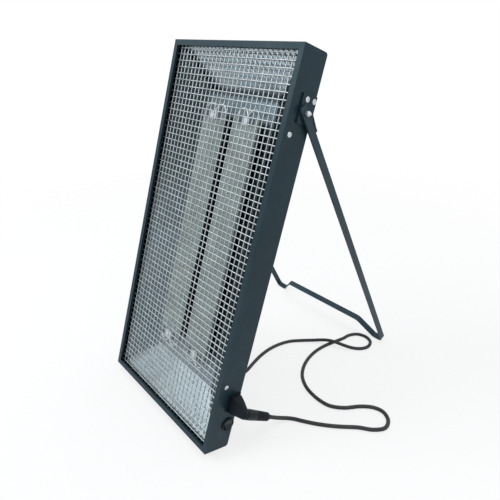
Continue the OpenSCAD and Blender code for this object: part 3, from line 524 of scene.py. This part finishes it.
# For each slot: name, colour, its tones, size of the clouds, roughness from and to, scale and depth
# of the grain, and what else the finish has.
FINISHES = {
    "shell_paint": ("Housing Powder Coat", "shell", (1, 0.80), 9, (0.36, 0.48), 700, 0.00006, dict(
        specular=0.24, sheen=PAINT_SHEEN, scuffs=0.22, scuff_tone=PAINT_WEAR, dust=0.03,
        dust_tone=PAINT_WEAR)),
    "leg_paint": ("Leg Powder Coat", "leg", (1, 0.78), 14, (0.34, 0.50), 800, 0.00005, dict(
        specular=0.3, sheen=PAINT_SHEEN, scuffs=0.30, scuff_tone=PAINT_WEAR, dust=0.05,
        dust_tone=(0.17, 0.23, 0.26))),
    # Two tones of one zinc, painted light and shade: the cross wires and beads darker, the uprights
    # behind them lighter.
    "mesh_steel": ("Mesh Zinc", "mesh", (0.84, 0.61), 60, (0.32, 0.46), 1600, 0.00002, dict(
        metallic=1.0, dust=0.10, dust_tone=(0.42, 0.40, 0.37))),
    "mesh_rear_painted_light": ("Mesh Zinc Rear", "mesh", (0.92, 0.65), 60, (0.36, 0.52), 1600, 0.00002, dict(
        metallic=1.0, dust=0.10, dust_tone=(0.36, 0.35, 0.33))),
    # The trough's side slopes get the painted dark reflection.
    "mirror_sheet": mirror("Reflector Trough", (0.24, 0.34), sides=1.0),
    # The lower end is the same sheet at a darker share: painted darker reflection.
    "mirror_ends": mirror("Reflector Lower End", (0.24, 0.34), 0.84),
    "mirror_top": mirror("Reflector Top End", (0.06, 0.11)),
    "bright_steel": ("Bright Fasteners", "bright", (1, 0.75), 90, (0.18, 0.34), 1500, 0.00002, dict(
        metallic=1.0)),
    "plate_coat": ("Emitter Coat", "plate", (1, 0.70), 24, (0.62, 0.80), 1300, 0.0001, dict(
        specular=0.25, dust=0.18, dust_tone=(0.44, 0.43, 0.39), end_patches="bare")),
    "clip_tin": ("Tinned Clips", "tin", (1, 0.85), 90, (0.16, 0.28), 1500, 0.00002, dict(
        metallic=0.3)),
    "ceramic": ("Glazed Ceramic", "ceramic", (1, 0.82), 60, (0.18, 0.30), 900, 0.00003, dict(
        coat=0.3, dust=0.15)),
    "cutout_case": ("Cut-out Case", "cutout", (1, 0.7), 70, (0.45, 0.6), 1300, 0.00004, {}),
    "wire_cover": ("Glass Sleeve", "sleeve", (1, 0.7), 300, (0.6, 0.8), 2200, 0.0001, {}),
    "black_plastic": ("Moulded Plastic", "plastic", (1, 0.7), 50, (0.40, 0.54), 1700, 0.00005, dict(
        specular=0.18, sheen=PLASTIC_SHEEN, scuffs=0.12, scuff_tone=PLASTIC_SCUFF, dust=0.015,
        dust_tone=PLASTIC_DUST)),
    "rocker_plastic": ("Rocker Plastic", "rocker", (1, 0.8), 80, (0.20, 0.30), 1400, 0.00002, dict(
        specular=0.35, sheen=PLASTIC_SHEEN, scuffs=0.12, scuff_tone=PLASTIC_SCUFF)),
    "contact_brass": ("Contact Brass", "brass", (1, 0.7), 80, (0.22, 0.36), 1500, 0.00002, dict(
        metallic=1.0, scuffs=0.2, scuff_tone=(0.8, 0.76, 0.6))),
    "grip_rubber": ("Grip Rubber", "rubber", (0.45, 0.3), 40, (0.42, 0.56), 1500, 0.00004, dict(
        specular=0.2, sheen=RUBBER_SHEEN, dust=0.02, dust_tone=PLASTIC_DUST)),
    "cord_rubber": ("Lead Sheath", "rubber", (1, 0.7), 30, (0.46, 0.60), 1500, 0.00005, dict(
        specular=0.4, scuffs=0.15, scuff_tone=(0.12, 0.12, 0.12), dust=0.06)),
}


# Work on meshes.

SMOOTH_BELOW, TURNED_SMOOTH_BELOW = math.radians(34), math.radians(40)


def leave_edit():
    """Goes back to object mode."""
    if bpy.context.object and bpy.context.object.mode != "OBJECT":
        bpy.ops.object.mode_set(mode="OBJECT")


def only(*objects):
    """Selects these objects and nothing else; the first is active."""
    leave_edit()
    bpy.ops.object.select_all(action="DESELECT")
    for o in objects:
        o.select_set(True)
    bpy.context.view_layer.objects.active = objects[0]


def edit(piece):
    """Enters edit mode with everything selected."""
    only(piece)
    bpy.ops.object.mode_set(mode="EDIT")
    bpy.ops.mesh.select_mode(type="VERT")
    bpy.ops.mesh.select_all(action="SELECT")


def close_edit():
    """Points the faces outwards and leaves edit mode."""
    bpy.ops.mesh.select_all(action="SELECT")
    bpy.ops.mesh.remove_doubles(threshold=0.000002)
    bpy.ops.mesh.normals_make_consistent(inside=False)
    leave_edit()


def copy_of(source, name):
    """A copy with its own mesh."""
    piece = bpy.data.objects.new(name, source.data.copy())
    bpy.context.scene.collection.objects.link(piece)
    return piece


def modified(piece, kind, **settings):
    """Adds a modifier to the active piece, with its settings, and applies it."""
    modifier = piece.modifiers.new(kind.capitalize(), kind)
    for name, value in settings.items():
        setattr(modifier, name, value)
    bpy.ops.object.modifier_apply(modifier=modifier.name)


def rounded(piece, edge, segments=2, angle=30):
    """Rounds the sharp edges by a bevel and smooths the rest."""
    only(piece)
    modified(piece, "BEVEL", width=edge, segments=segments, limit_method="ANGLE",
             angle_limit=math.radians(angle), use_clamp_overlap=True, harden_normals=False)
    bpy.ops.object.shade_smooth_by_angle(angle=SMOOTH_BELOW)
    modified(piece, "WEIGHTED_NORMAL", mode="FACE_AREA", weight=100, keep_sharp=True)
    return piece


def settled(piece, matrix):
    """Moves the place into the mesh, so that the object sits at the origin."""
    piece.data.transform(matrix @ piece.matrix_world)
    piece.matrix_world = Matrix.Identity(4)
    piece.data.update()
    return piece


def fitted(piece, slot, body, *nodes, look=None):
    """Gives a piece its finish and body, and hides the solids that it stands for.

    A look names another finish than the slot's own.
    """
    piece.data.materials.clear()
    piece.data.materials.append(finish_for(look or slot))
    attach(piece, body)
    if nodes:
        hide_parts(*nodes)
    return piece


def dressed(node, slot):
    """Keeps a solid as it is and gives it a finish."""
    piece = NODES[node]
    if not piece.material_slots:
        piece.data.materials.append(None)
    for place in piece.material_slots:
        place.material = finish_for(slot)


def layered(node, name, slot, depth, look=None):
    """A copy of a solid in the solid's place, moved along the panel's depth."""
    source = NODES[node]
    piece = copy_of(source, name)
    edit(piece)
    bpy.ops.transform.translate(value=PANEL.to_3x3() @ Vector((0, depth, 0)))
    leave_edit()
    return fitted(piece, slot, source["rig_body"], node, look=look)


def softened(node, name, slot, edge, segments=2, angle=30, look=None):
    """A merged copy of a solid with its sharp edges rounded, in the solid's place."""
    source = NODES[node]
    piece = copy_of(source, name)
    edit(piece)
    bpy.ops.mesh.remove_doubles(threshold=0.000005)
    bpy.ops.mesh.dissolve_limited(angle_limit=math.radians(1.0))
    leave_edit()
    rounded(piece, edge, segments, angle)
    return fitted(piece, slot, source["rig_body"], node, look=look)


def turned(name, rings, sides):
    """A round piece about Z, built ring by ring; each ring is its radius and height in mm."""
    only(NODES["housing_shell"])
    first_r, first_z = rings[0]
    bpy.ops.mesh.primitive_circle_add(
        vertices=sides, radius=first_r * MM, fill_type="NGON", location=(0, 0, first_z * MM))
    piece = bpy.context.object
    piece.name = name
    edit(piece)
    last_r, last_z = first_r, first_z
    for r, z in rings[1:]:
        bpy.ops.mesh.extrude_region_move(TRANSFORM_OT_translate={"value": (0, 0, (z - last_z) * MM)})
        k = r / last_r
        bpy.ops.transform.resize(value=(k, k, 1), center_override=(0, 0, z * MM))
        last_r, last_z = r, z
    close_edit()
    only(piece)
    bpy.ops.object.transform_apply(location=True, rotation=True, scale=True)
    bpy.ops.object.shade_smooth_by_angle(angle=TURNED_SMOOTH_BELOW)
    return piece


def copies(piece, name, matrices):
    """One joined piece of copies, each with its own mesh, at the given places."""
    made = []
    for matrix in matrices:
        made.append(copy_of(piece, name))
        made[-1].data.transform(matrix)
    bpy.data.objects.remove(piece)
    only(*made)
    bpy.ops.object.join()
    made[0].name = name
    made[0].data.name = name
    return made[0]


def turned_set(name, rings, sides, places, slot, *nodes):
    """A turned piece, modelled once and copied to its places on the housing."""
    return fitted(copies(turned(f"{name}_one", rings, sides), name, places), slot, "housing", *nodes)


def block(place, size, turn=0.0):
    """A box about a place in mm, to be rounded or to cut with."""
    bpy.ops.mesh.primitive_cube_add(size=1, location=Vector(place) * MM, rotation=(0, 0, turn))
    box = bpy.context.object
    box.scale = Vector(size) * MM
    only(box)
    bpy.ops.object.transform_apply(location=True, rotation=True, scale=True)
    return box


def cut(piece, cutter):
    """Takes the cutter's shape out of a piece."""
    only(piece)
    modified(piece, "BOOLEAN", operation="DIFFERENCE", object=cutter, solver="EXACT")
    bpy.data.objects.remove(cutter)
    only(piece)
    bpy.ops.object.shade_smooth_by_angle(angle=SMOOTH_BELOW)


def rivet_rings(height, shank):
    """Rings of a blind rivet whose mandrel has left a small hollow in its head."""
    r = bpy.context.scene.heater_sizes.rivet_d / 2 / MM
    return [(2.0, -shank), (2.0, -0.02), (r, 0), (r * 0.985, height * 0.35), (r * 0.86, height * 0.75),
            (r * 0.6, height * 0.96), (r * 0.36, height), (r * 0.3, height * 0.8),
            (r * 0.25, height * 0.35), (r * 0.05, height * 0.3)]


def on_wall(side, x, y, z):
    """Place on the right wall (side 1) or the left one (-1), its axis outwards; in mm."""
    return PANEL @ Matrix.Translation(Vector((side * x, y, z)) * MM) @ Matrix.Rotation(
        side * math.pi / 2, 4, "Y")


def towards_rear(x, y, z):
    """Place in mm of the upright housing, its axis towards the rear."""
    return PANEL @ Matrix.Translation(Vector((x, y, z)) * MM) @ Matrix.Rotation(-math.pi / 2, 4, "X")


# Route of the lead in mm, from the strain relief over the floor to the coil. A place without a
# height lies on the floor.
CORD_R = 3.5
CORD_ROUTE = [
    (172, -108, 17), (175, -96, 10), (180, -84, 5), (189, -75), (201, -68), (225, -52), (249, -32),
    (274, -7), (294, 8), (306, 27), (300, 46), (283, 56), (264, 51), (247, 35), (231, 12), (211, -4),
    (190, -8), (167, -6), (145, 1), (123, 16), (106, 39), (95, 66), (90, 95), (91, 123), (96, 150),
    (101, 173), (103, 193), (113, 210), (131, 216), (148, 209), (155, 191), (149, 174), (136, 161, 4.5),
    (122, 151, 8), (109, 144, 10.8), (96, 138.5, 11.6), (81, 131, 9.5), (62, 117, 5), (44, 98),
    (30, 78), (22, 55), (19, 28), (22, -2), (30, -32), (38, -60), (36, -88), (16, -109), (-14, -118),
]
TAIL_ROUTE = [
    (-75, -118, 10.5), (-86, -114, 10.5), (-95, -105, 11), (-99.5, -94, 12.5), (-101, -81, 15.5),
]
# The coil in mm: its centre, turns, growth in radius a turn, height of its second layer, and the
# degrees over which the lead climbs there.
COIL_CENTRE = (-50, -75)
COIL_TURNS, COIL_PITCH, COIL_LAYER, COIL_CLIMB = 3, 8.8, 7.8, 180
# Metres that the lead runs inside the strain relief and the plug, and straight before a bend.
RELIEF_INSIDE, PLUG_INSIDE, STRAIGHT = 0.015, 0.002, 0.007
# Degrees between two places in the coil, and steps of the smooth line between two places.
COIL_STEP, LINE_STEPS = 15, 4


def coil_point(turned_by):
    """Centre of the lead in the coil, in mm, after so many degrees."""
    middle = COIL_TURNS * 180
    away = abs(turned_by - middle)
    r = bpy.context.scene.heater_sizes.coil_r / MM + COIL_PITCH * max(0, away - COIL_CLIMB / 2) / 360
    angle = math.radians(-90 - turned_by)
    t = min(max((turned_by - middle + COIL_CLIMB / 2) / COIL_CLIMB, 0), 1)
    return (
        COIL_CENTRE[0] + r * math.cos(angle),
        COIL_CENTRE[1] + r * math.sin(angle),
        CORD_R + COIL_LAYER * t * t * (3 - 2 * t),
    )


def lead_points():
    """Every point that the lead passes, in metres, from inside its connector to its plug."""
    root = PANEL @ GRIP_ROOT
    way = (PANEL.to_3x3() @ GRIP_WAY).normalized()
    leave = root + way * (GRIP_LEN + RELIEF_LEN)
    step = Vector((STRAIGHT, 0, 0))
    coil_in = Vector(coil_point(0)) * MM + step
    coil_out = Vector(coil_point(COIL_TURNS * 360)) * MM - step
    points = [leave - way * RELIEF_INSIDE, leave, leave + way * STRAIGHT]
    points += [Vector((*p, CORD_R)[:3]) * MM for p in CORD_ROUTE]
    points += [coil_in + step, coil_in]
    points += [Vector(coil_point(a)) * MM for a in range(0, COIL_TURNS * 360 + 1, COIL_STEP)]
    points += [coil_out, coil_out - step]
    points += [Vector(p) * MM for p in TAIL_ROUTE]
    points += [PLUG_PLACE - Vector((0, STRAIGHT, 0)), PLUG_PLACE + Vector((0, PLUG_INSIDE, 0))]
    return points


def smooth_through(points, steps):
    """A smooth line through the points."""
    line = []
    last = len(points) - 1
    for i in range(last):
        a, b = points[max(i - 1, 0)], points[i]
        c, d = points[i + 1], points[min(i + 2, last)]
        for j in range(steps):
            t = j / steps
            line.append(
                (2 * b + (c - a) * t + (2 * a - 5 * b + 4 * c - d) * t * t
                 + (3 * b - a - 3 * c + d) * t ** 3) / 2)
    line.append(points[last])
    return line


# One operator for each piece or group of like pieces.


class HEATER_OT_camera(bpy.types.Operator):
    """Places the camera where the photographer stood"""

    bl_idname = "heater.camera"
    bl_label = "Camera"

    def execute(self, context):
        view = context.scene.heater_view
        bpy.ops.object.camera_add(location=view.place, rotation=view.turn)
        camera = context.object
        camera.name = "studio_camera"
        camera.data.lens = view.lens
        camera.data.sensor_width = SENSOR_MM
        camera.data.clip_start, camera.data.clip_end = 0.01, 50
        context.scene.camera = camera
        return {"FINISHED"}


class HEATER_OT_stage(bpy.types.Operator):
    """Lays a plain pale floor under plain soft studio light"""

    bl_idname = "heater.stage"
    bl_label = "Floor and light"

    def execute(self, context):
        view = context.scene.heater_view
        context.scene.view_settings.view_transform = "Standard"
        self.world(context, view)
        self.floor(view)
        for name, (place, size) in LAMPS.items():
            bpy.ops.object.light_add(type="AREA", location=place)
            lamp = context.object
            lamp.name = f"{name}_lamp"
            lamp.data.energy = getattr(view, name)
            lamp.data.size = size
            lamp.data.color = LAMP_COLOUR
            lamp.rotation_mode = "QUATERNION"
            lamp.rotation_quaternion = (LAMP_AIM - lamp.location).to_track_quat("-Z", "Y")
        return {"FINISHED"}

    def world(self, context, view):
        """Even light all round, seen as white by the camera and in metal and glass."""
        world = bpy.data.worlds.new("studio_world")
        context.scene.world = world
        world.use_nodes = True
        tree = world.node_tree
        even = fed(tree, tree.nodes["Background"], Color=SKY_COLOUR, Strength=view.sky)
        white = fed(tree, tree.nodes.new("ShaderNodeBackground"), Color=(1, 1, 1, 1), Strength=1.0)
        self.blend(tree, self.seen(tree), even, white, "World Output")

    def floor(self, view):
        """A wide floor with a faint cloudiness that keeps the heater's shadow."""
        bpy.ops.mesh.primitive_plane_add(size=FLOOR_SIZE, location=(0, 0, 0))
        floor = bpy.context.object
        floor.name = "studio_floor"
        material = bpy.data.materials.new("Studio Floor")
        material.use_nodes = True
        tree = material.node_tree
        vector = tree.nodes.new("ShaderNodeTexCoord").outputs["Object"]
        tone = placed(tree, "Mottled Tone", vector, Scale=FLOOR_CLOUDS, Light=(*view.floor, 1),
                      Dark=(*darker(view.floor, FLOOR_DARK), 1))
        matt = fed(tree, tree.nodes["Principled BSDF"], **{
            "Base Color": tone["Color"], "Roughness": FLOOR_ROUGH, "Specular IOR Level": 0})
        glow = fed(tree, tree.nodes.new("ShaderNodeEmission"), Strength=1.0)
        away = tree.nodes.new("ShaderNodeVectorMath")
        away.operation = "LENGTH"
        tree.links.new(vector, away.inputs[0])
        share = spread(tree, away.outputs["Value"], *FLOOR_FADE, *FLOOR_PLAIN)
        self.blend(tree, times(tree, self.seen(tree), share), matt, glow, "Material Output")
        floor.data.materials.append(material)

    def seen(self, tree):
        """1 for what the camera sees, in metal and glass too, and 0 for light on surfaces."""
        path = tree.nodes.new("ShaderNodeLightPath")
        return math_node(tree, "MAXIMUM", path.outputs["Is Camera Ray"],
                         math_node(tree, "MAXIMUM", path.outputs["Is Glossy Ray"],
                                   path.outputs["Is Transmission Ray"]))

    def blend(self, tree, share, under, over, output):
        """Shows one shader over another, by a share."""
        mix = tree.nodes.new("ShaderNodeMixShader")
        tree.links.new(share, mix.inputs["Fac"])
        tree.links.new(under.outputs[0], mix.inputs[1])
        tree.links.new(over.outputs[0], mix.inputs[2])
        tree.links.new(mix.outputs[0], tree.nodes[output].inputs["Surface"])


class HEATER_OT_lead_ends(bpy.types.Operator):
    """Angled connector, grip with strain relief, mains plug and its pins"""

    bl_idname = "heater.lead_ends"
    bl_label = "Connector and plug"

    def execute(self, context):
        sizes = context.scene.heater_sizes
        softened("connector_body", "lead_connector", "black_plastic", sizes.mould_edge * 1.5, 3, 24)
        self.relief(sizes)
        self.plug(sizes)
        self.pins()
        return {"FINISHED"}

    def relief(self, sizes):
        """Grip that ends in a collar and a short taper over the lead."""
        rings = [(8.6, 4), (8.9, 8), (8.9, 20), (8.6, 26)]
        for i in range(7):
            z = 28 + 4.4 * i
            r = 8.5 - 0.14 * i
            rings += [(r, z), (r, z + 2.2), (r - 1.1, z + 2.7), (r - 1.1, z + 4.0)]
        rings += [(7.5, 59.2), (7.5, 64.5), (7.0, 65.3), (5.6, 65.6), (5.2, 68), (4.7, 71), (4.2, 73.5),
                  (3.8, 76)]
        grip = settled(turned("strain_relief_sleeve", rings, sizes.ring_sides), GRIP)
        fitted(grip, "cord_rubber", "housing", "strain_relief", look="grip_rubber")

    def plug(self, sizes):
        """Round earthed plug with a ribbed neck, finger grooves and two side slots."""
        rings = [(4.6, 0), (5.0, 0.6)]
        for i in range(4):
            z = 2 + 3.6 * i
            r = 5.3 + 0.45 * i
            rings += [(r, z), (r + 0.5, z + 0.6), (r + 0.5, z + 1.8), (r, z + 2.4)]
        rings += [(7.2, 17.6), (10.6, 18.4), (12.0, 19.6), (12.6, 22)]
        for i in range(4):
            z = 24 + 4.2 * i
            r = 13.1 + 0.95 * i
            rings += [(r, z), (r - 0.6, z + 0.7), (r - 0.4, z + 1.7), (r + 0.5, z + 2.4)]
        rings += [(17.4, 43.2), (18.2, 44), (18.5, 45), (18.5, 52.8), (18.1, 53.7), (17.4, 54)]
        plug = turned("plug_moulding", rings, sizes.ring_sides)
        for side, name in ((-1, "earth_strip_upper"), (1, "earth_strip_lower")):
            cut(plug, block((0, side * 17, 51), (5.5, 6, 12.2)))
            strip = rounded(block((0, side * 15.1, 49.6), (4.6, 2.2, 8.6)), SMALL_EDGE)
            strip.name = name
            fitted(settled(strip, PLUG), "contact_brass", "housing")
        fitted(settled(plug, PLUG), "black_plastic", "housing", "mains_plug")

    def pins(self):
        """Two round pins with domed tips and a seating ring."""
        rings = [(2.0, 48), (2.0, 53.6), (2.4, 54), (2.4, 70.6), (2.25, 71.8), (1.8, 72.6), (1.0, 73)]
        places = [PLUG @ Matrix.Translation((side * PIN_X * MM, 0, 0)) for side in (-1, 1)]
        turned_set("plug_pin_pair", rings, FASTENER_SIDES, places, "contact_brass", "mains_plug_pins")


class HEATER_OT_lead(bpy.types.Operator):
    """The mains lead: over the floor in loose bends, into its coil and out to the plug"""

    bl_idname = "heater.lead"
    bl_label = "Mains lead"

    def execute(self, context):
        sizes = context.scene.heater_sizes
        line = smooth_through(lead_points(), LINE_STEPS)
        curve = bpy.data.curves.new("mains_lead", "CURVE")
        curve.dimensions = "3D"
        spline = curve.splines.new("POLY")
        spline.points.add(len(line) - 1)
        for place, p in zip(spline.points, line):
            place.co = (*p, 1)
        curve.bevel_depth = sizes.cord_d / 2
        curve.bevel_resolution = 4
        curve.use_fill_caps = True
        lead = bpy.data.objects.new("mains_lead", curve)
        context.scene.collection.objects.link(lead)
        fitted(lead, "cord_rubber", "housing", "lead_cord", "lead_coil", "lead_tail")
        return {"FINISHED"}


class HEATER_OT_housing(bpy.types.Operator):
    """Steel shell with its lip and flange, the rear cover and its screws"""

    bl_idname = "heater.housing"
    bl_label = "Housing"

    def execute(self, context):
        sizes = context.scene.heater_sizes
        softened("housing_shell", "shell_sheet", "shell_paint", sizes.sheet_edge)
        softened("rear_cover", "rear_plate", "shell_paint", sizes.sheet_edge)
        dressed("grille_spacer", "shell_paint")
        self.screws()
        return {"FINISHED"}

    def screws(self):
        """Domed cover screws with a cross recess, modelled once and copied."""
        rings = [(1.5, -4.0), (1.5, -0.02), (3.5, 0), (3.45, 0.45), (3.1, 1.0), (2.5, 1.4),
                 (1.6, 1.7), (0.7, 1.8)]
        screw = turned("cover_screw", rings, FASTENER_SIDES)
        for turn in (0, math.pi / 2):
            cut(screw, block((0, 0, 1.9), (3.6, 0.8, 2.2), turn))
        screws = copies(screw, "cover_screw_set", [
            towards_rear(x, PANEL_D / MM, z) for x in (-COVER_SCREW_X, COVER_SCREW_X)
            for z in COVER_SCREW_Z])
        fitted(screws, "bright_steel", "housing", "rear_cover_screws")


class HEATER_OT_mesh(bpy.types.Operator):
    """Welded wire mesh, with a small bead at every crossing"""

    bl_idname = "heater.mesh"
    bl_label = "Mesh"

    def execute(self, context):
        sizes = context.scene.heater_sizes
        # The uprights take the lighter zinc, painted light.
        layered("grille_uprights", "mesh_uprights", "mesh_steel", sizes.wire_d, "mesh_rear_painted_light")
        layered("grille_cross_wires", "mesh_cross_wires", "mesh_steel", -sizes.wire_d)
        left = -MESH_PITCH * (MESH_ACROSS - 1) / 2
        foot = PANEL_H / 2 - MESH_PITCH * (MESH_UP - 1) / 2
        bpy.ops.object.select_all(action="DESELECT")
        bpy.ops.mesh.primitive_ico_sphere_add(
            subdivisions=1, radius=sizes.weld_r, location=(left, MESH_TOUCH, foot))
        beads = context.object
        beads.name = "weld_beads"
        edit(beads)
        bpy.ops.transform.resize(value=(1.15, 0.8, 1.15), center_override=beads.location)
        leave_edit()
        for count, way in ((MESH_ACROSS, (MESH_PITCH, 0, 0)), (MESH_UP, (0, 0, MESH_PITCH))):
            modified(beads, "ARRAY", count=count, use_relative_offset=False, use_constant_offset=True,
                     constant_offset_displace=way)
        bpy.ops.object.shade_smooth()
        fitted(settled(beads, PANEL), "mesh_steel", "housing")
        return {"FINISHED"}


class HEATER_OT_reflector(bpy.types.Operator):
    """Polished reflector pan and the blind rivets that hold it"""

    bl_idname = "heater.reflector"
    bl_label = "Reflector"

    def execute(self, context):
        dressed("reflector_trough", "mirror_sheet")
        dressed("reflector_top_end", "mirror_top")
        dressed("reflector_bottom_end", "mirror_ends")
        places = [on_wall(side, WALL_X, WALL_RIVET_Y, z) for side in (1, -1) for z in WALL_RIVET_Z]
        turned_set("reflector_rivet_set", rivet_rings(1.2, 3.3), FASTENER_SIDES, places,
                   "bright_steel", "reflector_rivets")
        return {"FINISHED"}


class HEATER_OT_emitters(bpy.types.Operator):
    """The two emitter plates with their clips, bare wires and ceramic posts"""

    bl_idname = "heater.emitters"
    bl_label = "Emitters"

    def execute(self, context):
        sizes = context.scene.heater_sizes
        for side in ("left", "right"):
            softened(f"emitter_{side}", f"plate_{side}", "plate_coat", sizes.plate_edge, 3)
        softened("emitter_clips", "plate_clips", "bright_steel", sizes.sheet_edge, look="clip_tin")
        edit(softened("emitter_leads", "plate_loops", "bright_steel", LOOP_EDGE, 2, 40, "clip_tin"))
        bpy.ops.transform.shrink_fatten(value=sizes.loop_swell)
        leave_edit()
        rings = [(3.6, 0), (4.6, 0.3), (5.0, 1.0), (5.0, 2.6), (4.2, 3.2), (4.2, 4.2), (5.0, 4.8),
                 (5.0, 6.2), (4.2, 6.8), (4.2, 7.8), (5.0, 8.4), (5.0, 9.6), (4.4, 10.2)]
        places = [towards_rear(side * PLATE_MID_X / MM, POST_Y, z) for side in (-1, 1) for z in POST_Z]
        turned_set("ceramic_post_set", rings, sizes.ring_sides, places, "ceramic", "emitter_posts")
        return {"FINISHED"}


class HEATER_OT_inner_parts(bpy.types.Operator):
    """Terminal block with its screws, thermal cut-out and inner wires"""

    bl_idname = "heater.inner_parts"
    bl_label = "Inner parts"

    def execute(self, context):
        softened("terminal_block", "terminal_moulding", "ceramic", BLOCK_EDGE)
        softened("thermal_cutout", "cutout_moulding", "cutout_case", CUTOUT_EDGE)
        dressed("inner_wires", "wire_cover")
        rings = [(1.6, 0), (1.6, 2.2), (1.3, 2.6), (0.5, 2.7)]
        places = [PANEL @ Matrix.Translation(Vector((TERMINAL_X, TERMINAL_Y, z)) * MM)
                  @ Matrix.Rotation(math.pi / 2, 4, "X") for z in TERMINAL_Z]
        turned_set("terminal_screw_set", rings, TERMINAL_SIDES, places, "contact_brass")
        return {"FINISHED"}


class HEATER_OT_leg(bpy.types.Operator):
    """The U-shaped strip leg that folds on its pivots"""

    bl_idname = "heater.leg"
    bl_label = "Leg"

    def execute(self, context):
        softened("support_leg", "leg_strip", "leg_paint", context.scene.heater_sizes.strip_edge, 3)
        return {"FINISHED"}


class HEATER_OT_pivots(bpy.types.Operator):
    """Stop brackets, their rivets, and the bolts, washers and nuts of the pivots"""

    bl_idname = "heater.pivots"
    bl_label = "Brackets and pivots"

    def execute(self, context):
        sizes = context.scene.heater_sizes
        for side in ("left", "right"):
            softened(f"bracket_{side}", f"bracket_plate_{side}", "leg_paint", sizes.sheet_edge,
                     look="shell_paint")
        softened("pivot_nuts", "pivot_nut_pair", "bright_steel", SMALL_EDGE)
        dressed("pivot_washers", "bright_steel")
        places = [on_wall(side, BRACKET_X, y, BRACKET_RIVET_Z)
                  for side in (1, -1) for y in BRACKET_RIVET_Y]
        turned_set("bracket_rivet_set", rivet_rings(1.0, 4.6), FASTENER_SIDES, places,
                   "bright_steel", "bracket_rivets")
        self.bolts()
        return {"FINISHED"}

    def bolts(self):
        """Pivot bolts with a turned thread outside the nut."""
        rings = [(3.2, -4.2), (3.5, -3.9), (3.5, -1.5), (3.2, -1.2), (2.0, -1.18), (2.0, 7.0)]
        z = 7.0
        while z < 14.2:
            rings += [(1.72, z + 0.3), (2.0, z + 0.6)]
            z += 0.6
        rings += [(1.55, 15.0)]
        places = [on_wall(side, WALL_X, BOLT_Y, BOLT_Z) for side in (1, -1)]
        turned_set("pivot_bolt_pair", rings, FASTENER_SIDES, places, "bright_steel", "pivot_bolts")


class HEATER_OT_inlet(bpy.types.Operator):
    """Inlet with its contact blades, and the round rocker switch"""

    bl_idname = "heater.inlet"
    bl_label = "Inlet and switch"

    def execute(self, context):
        edge = context.scene.heater_sizes.mould_edge
        softened("inlet_body", "inlet_moulding", "black_plastic", edge * 0.8)
        dressed("inlet_pins", "contact_brass")
        softened("switch_body", "switch_moulding", "black_plastic", edge * 0.7, 3)
        softened("switch_rocker", "rocker_paddle", "rocker_plastic", edge * 0.55, 3)
        return {"FINISHED"}


BUILDERS = (
    HEATER_OT_camera, HEATER_OT_stage, HEATER_OT_lead_ends, HEATER_OT_lead, HEATER_OT_housing,
    HEATER_OT_mesh, HEATER_OT_reflector, HEATER_OT_emitters, HEATER_OT_inner_parts, HEATER_OT_leg,
    HEATER_OT_pivots, HEATER_OT_inlet,
)


class HEATER_PT_pieces(bpy.types.Panel):
    """Lists the heater's pieces"""

    bl_label = "Heater"
    bl_idname = "HEATER_PT_pieces"
    bl_space_type = "VIEW_3D"
    bl_region_type = "UI"
    bl_category = "Heater"

    def draw(self, context):
        column = self.layout.column(align=True)
        for builder in BUILDERS:
            column.operator(builder.bl_idname)
        for group in (context.scene.heater_sizes, context.scene.heater_colours,
                      context.scene.heater_view):
            box = self.layout.box()
            for name in group.__annotations__:
                box.prop(group, name)


CLASSES = (HeaterColours, HeaterSizes, HeaterView, *BUILDERS, HEATER_PT_pieces)


def register():
    """Registers the classes and the settings."""
    for c in CLASSES:
        bpy.utils.register_class(c)
    bpy.types.Scene.heater_colours = PointerProperty(type=HeaterColours)
    bpy.types.Scene.heater_sizes = PointerProperty(type=HeaterSizes)
    bpy.types.Scene.heater_view = PointerProperty(type=HeaterView)


def unregister():
    """Takes the settings and the classes away again."""
    for name in ("heater_view", "heater_sizes", "heater_colours"):
        delattr(bpy.types.Scene, name)
    for c in reversed(CLASSES):
        bpy.utils.unregister_class(c)


def main():
    """Builds everything."""
    register()
    for builder in BUILDERS:
        group, name = builder.bl_idname.split(".")
        getattr(getattr(bpy.ops, group), name)()
    leave_edit()


if __name__ == "__main__":
    main()
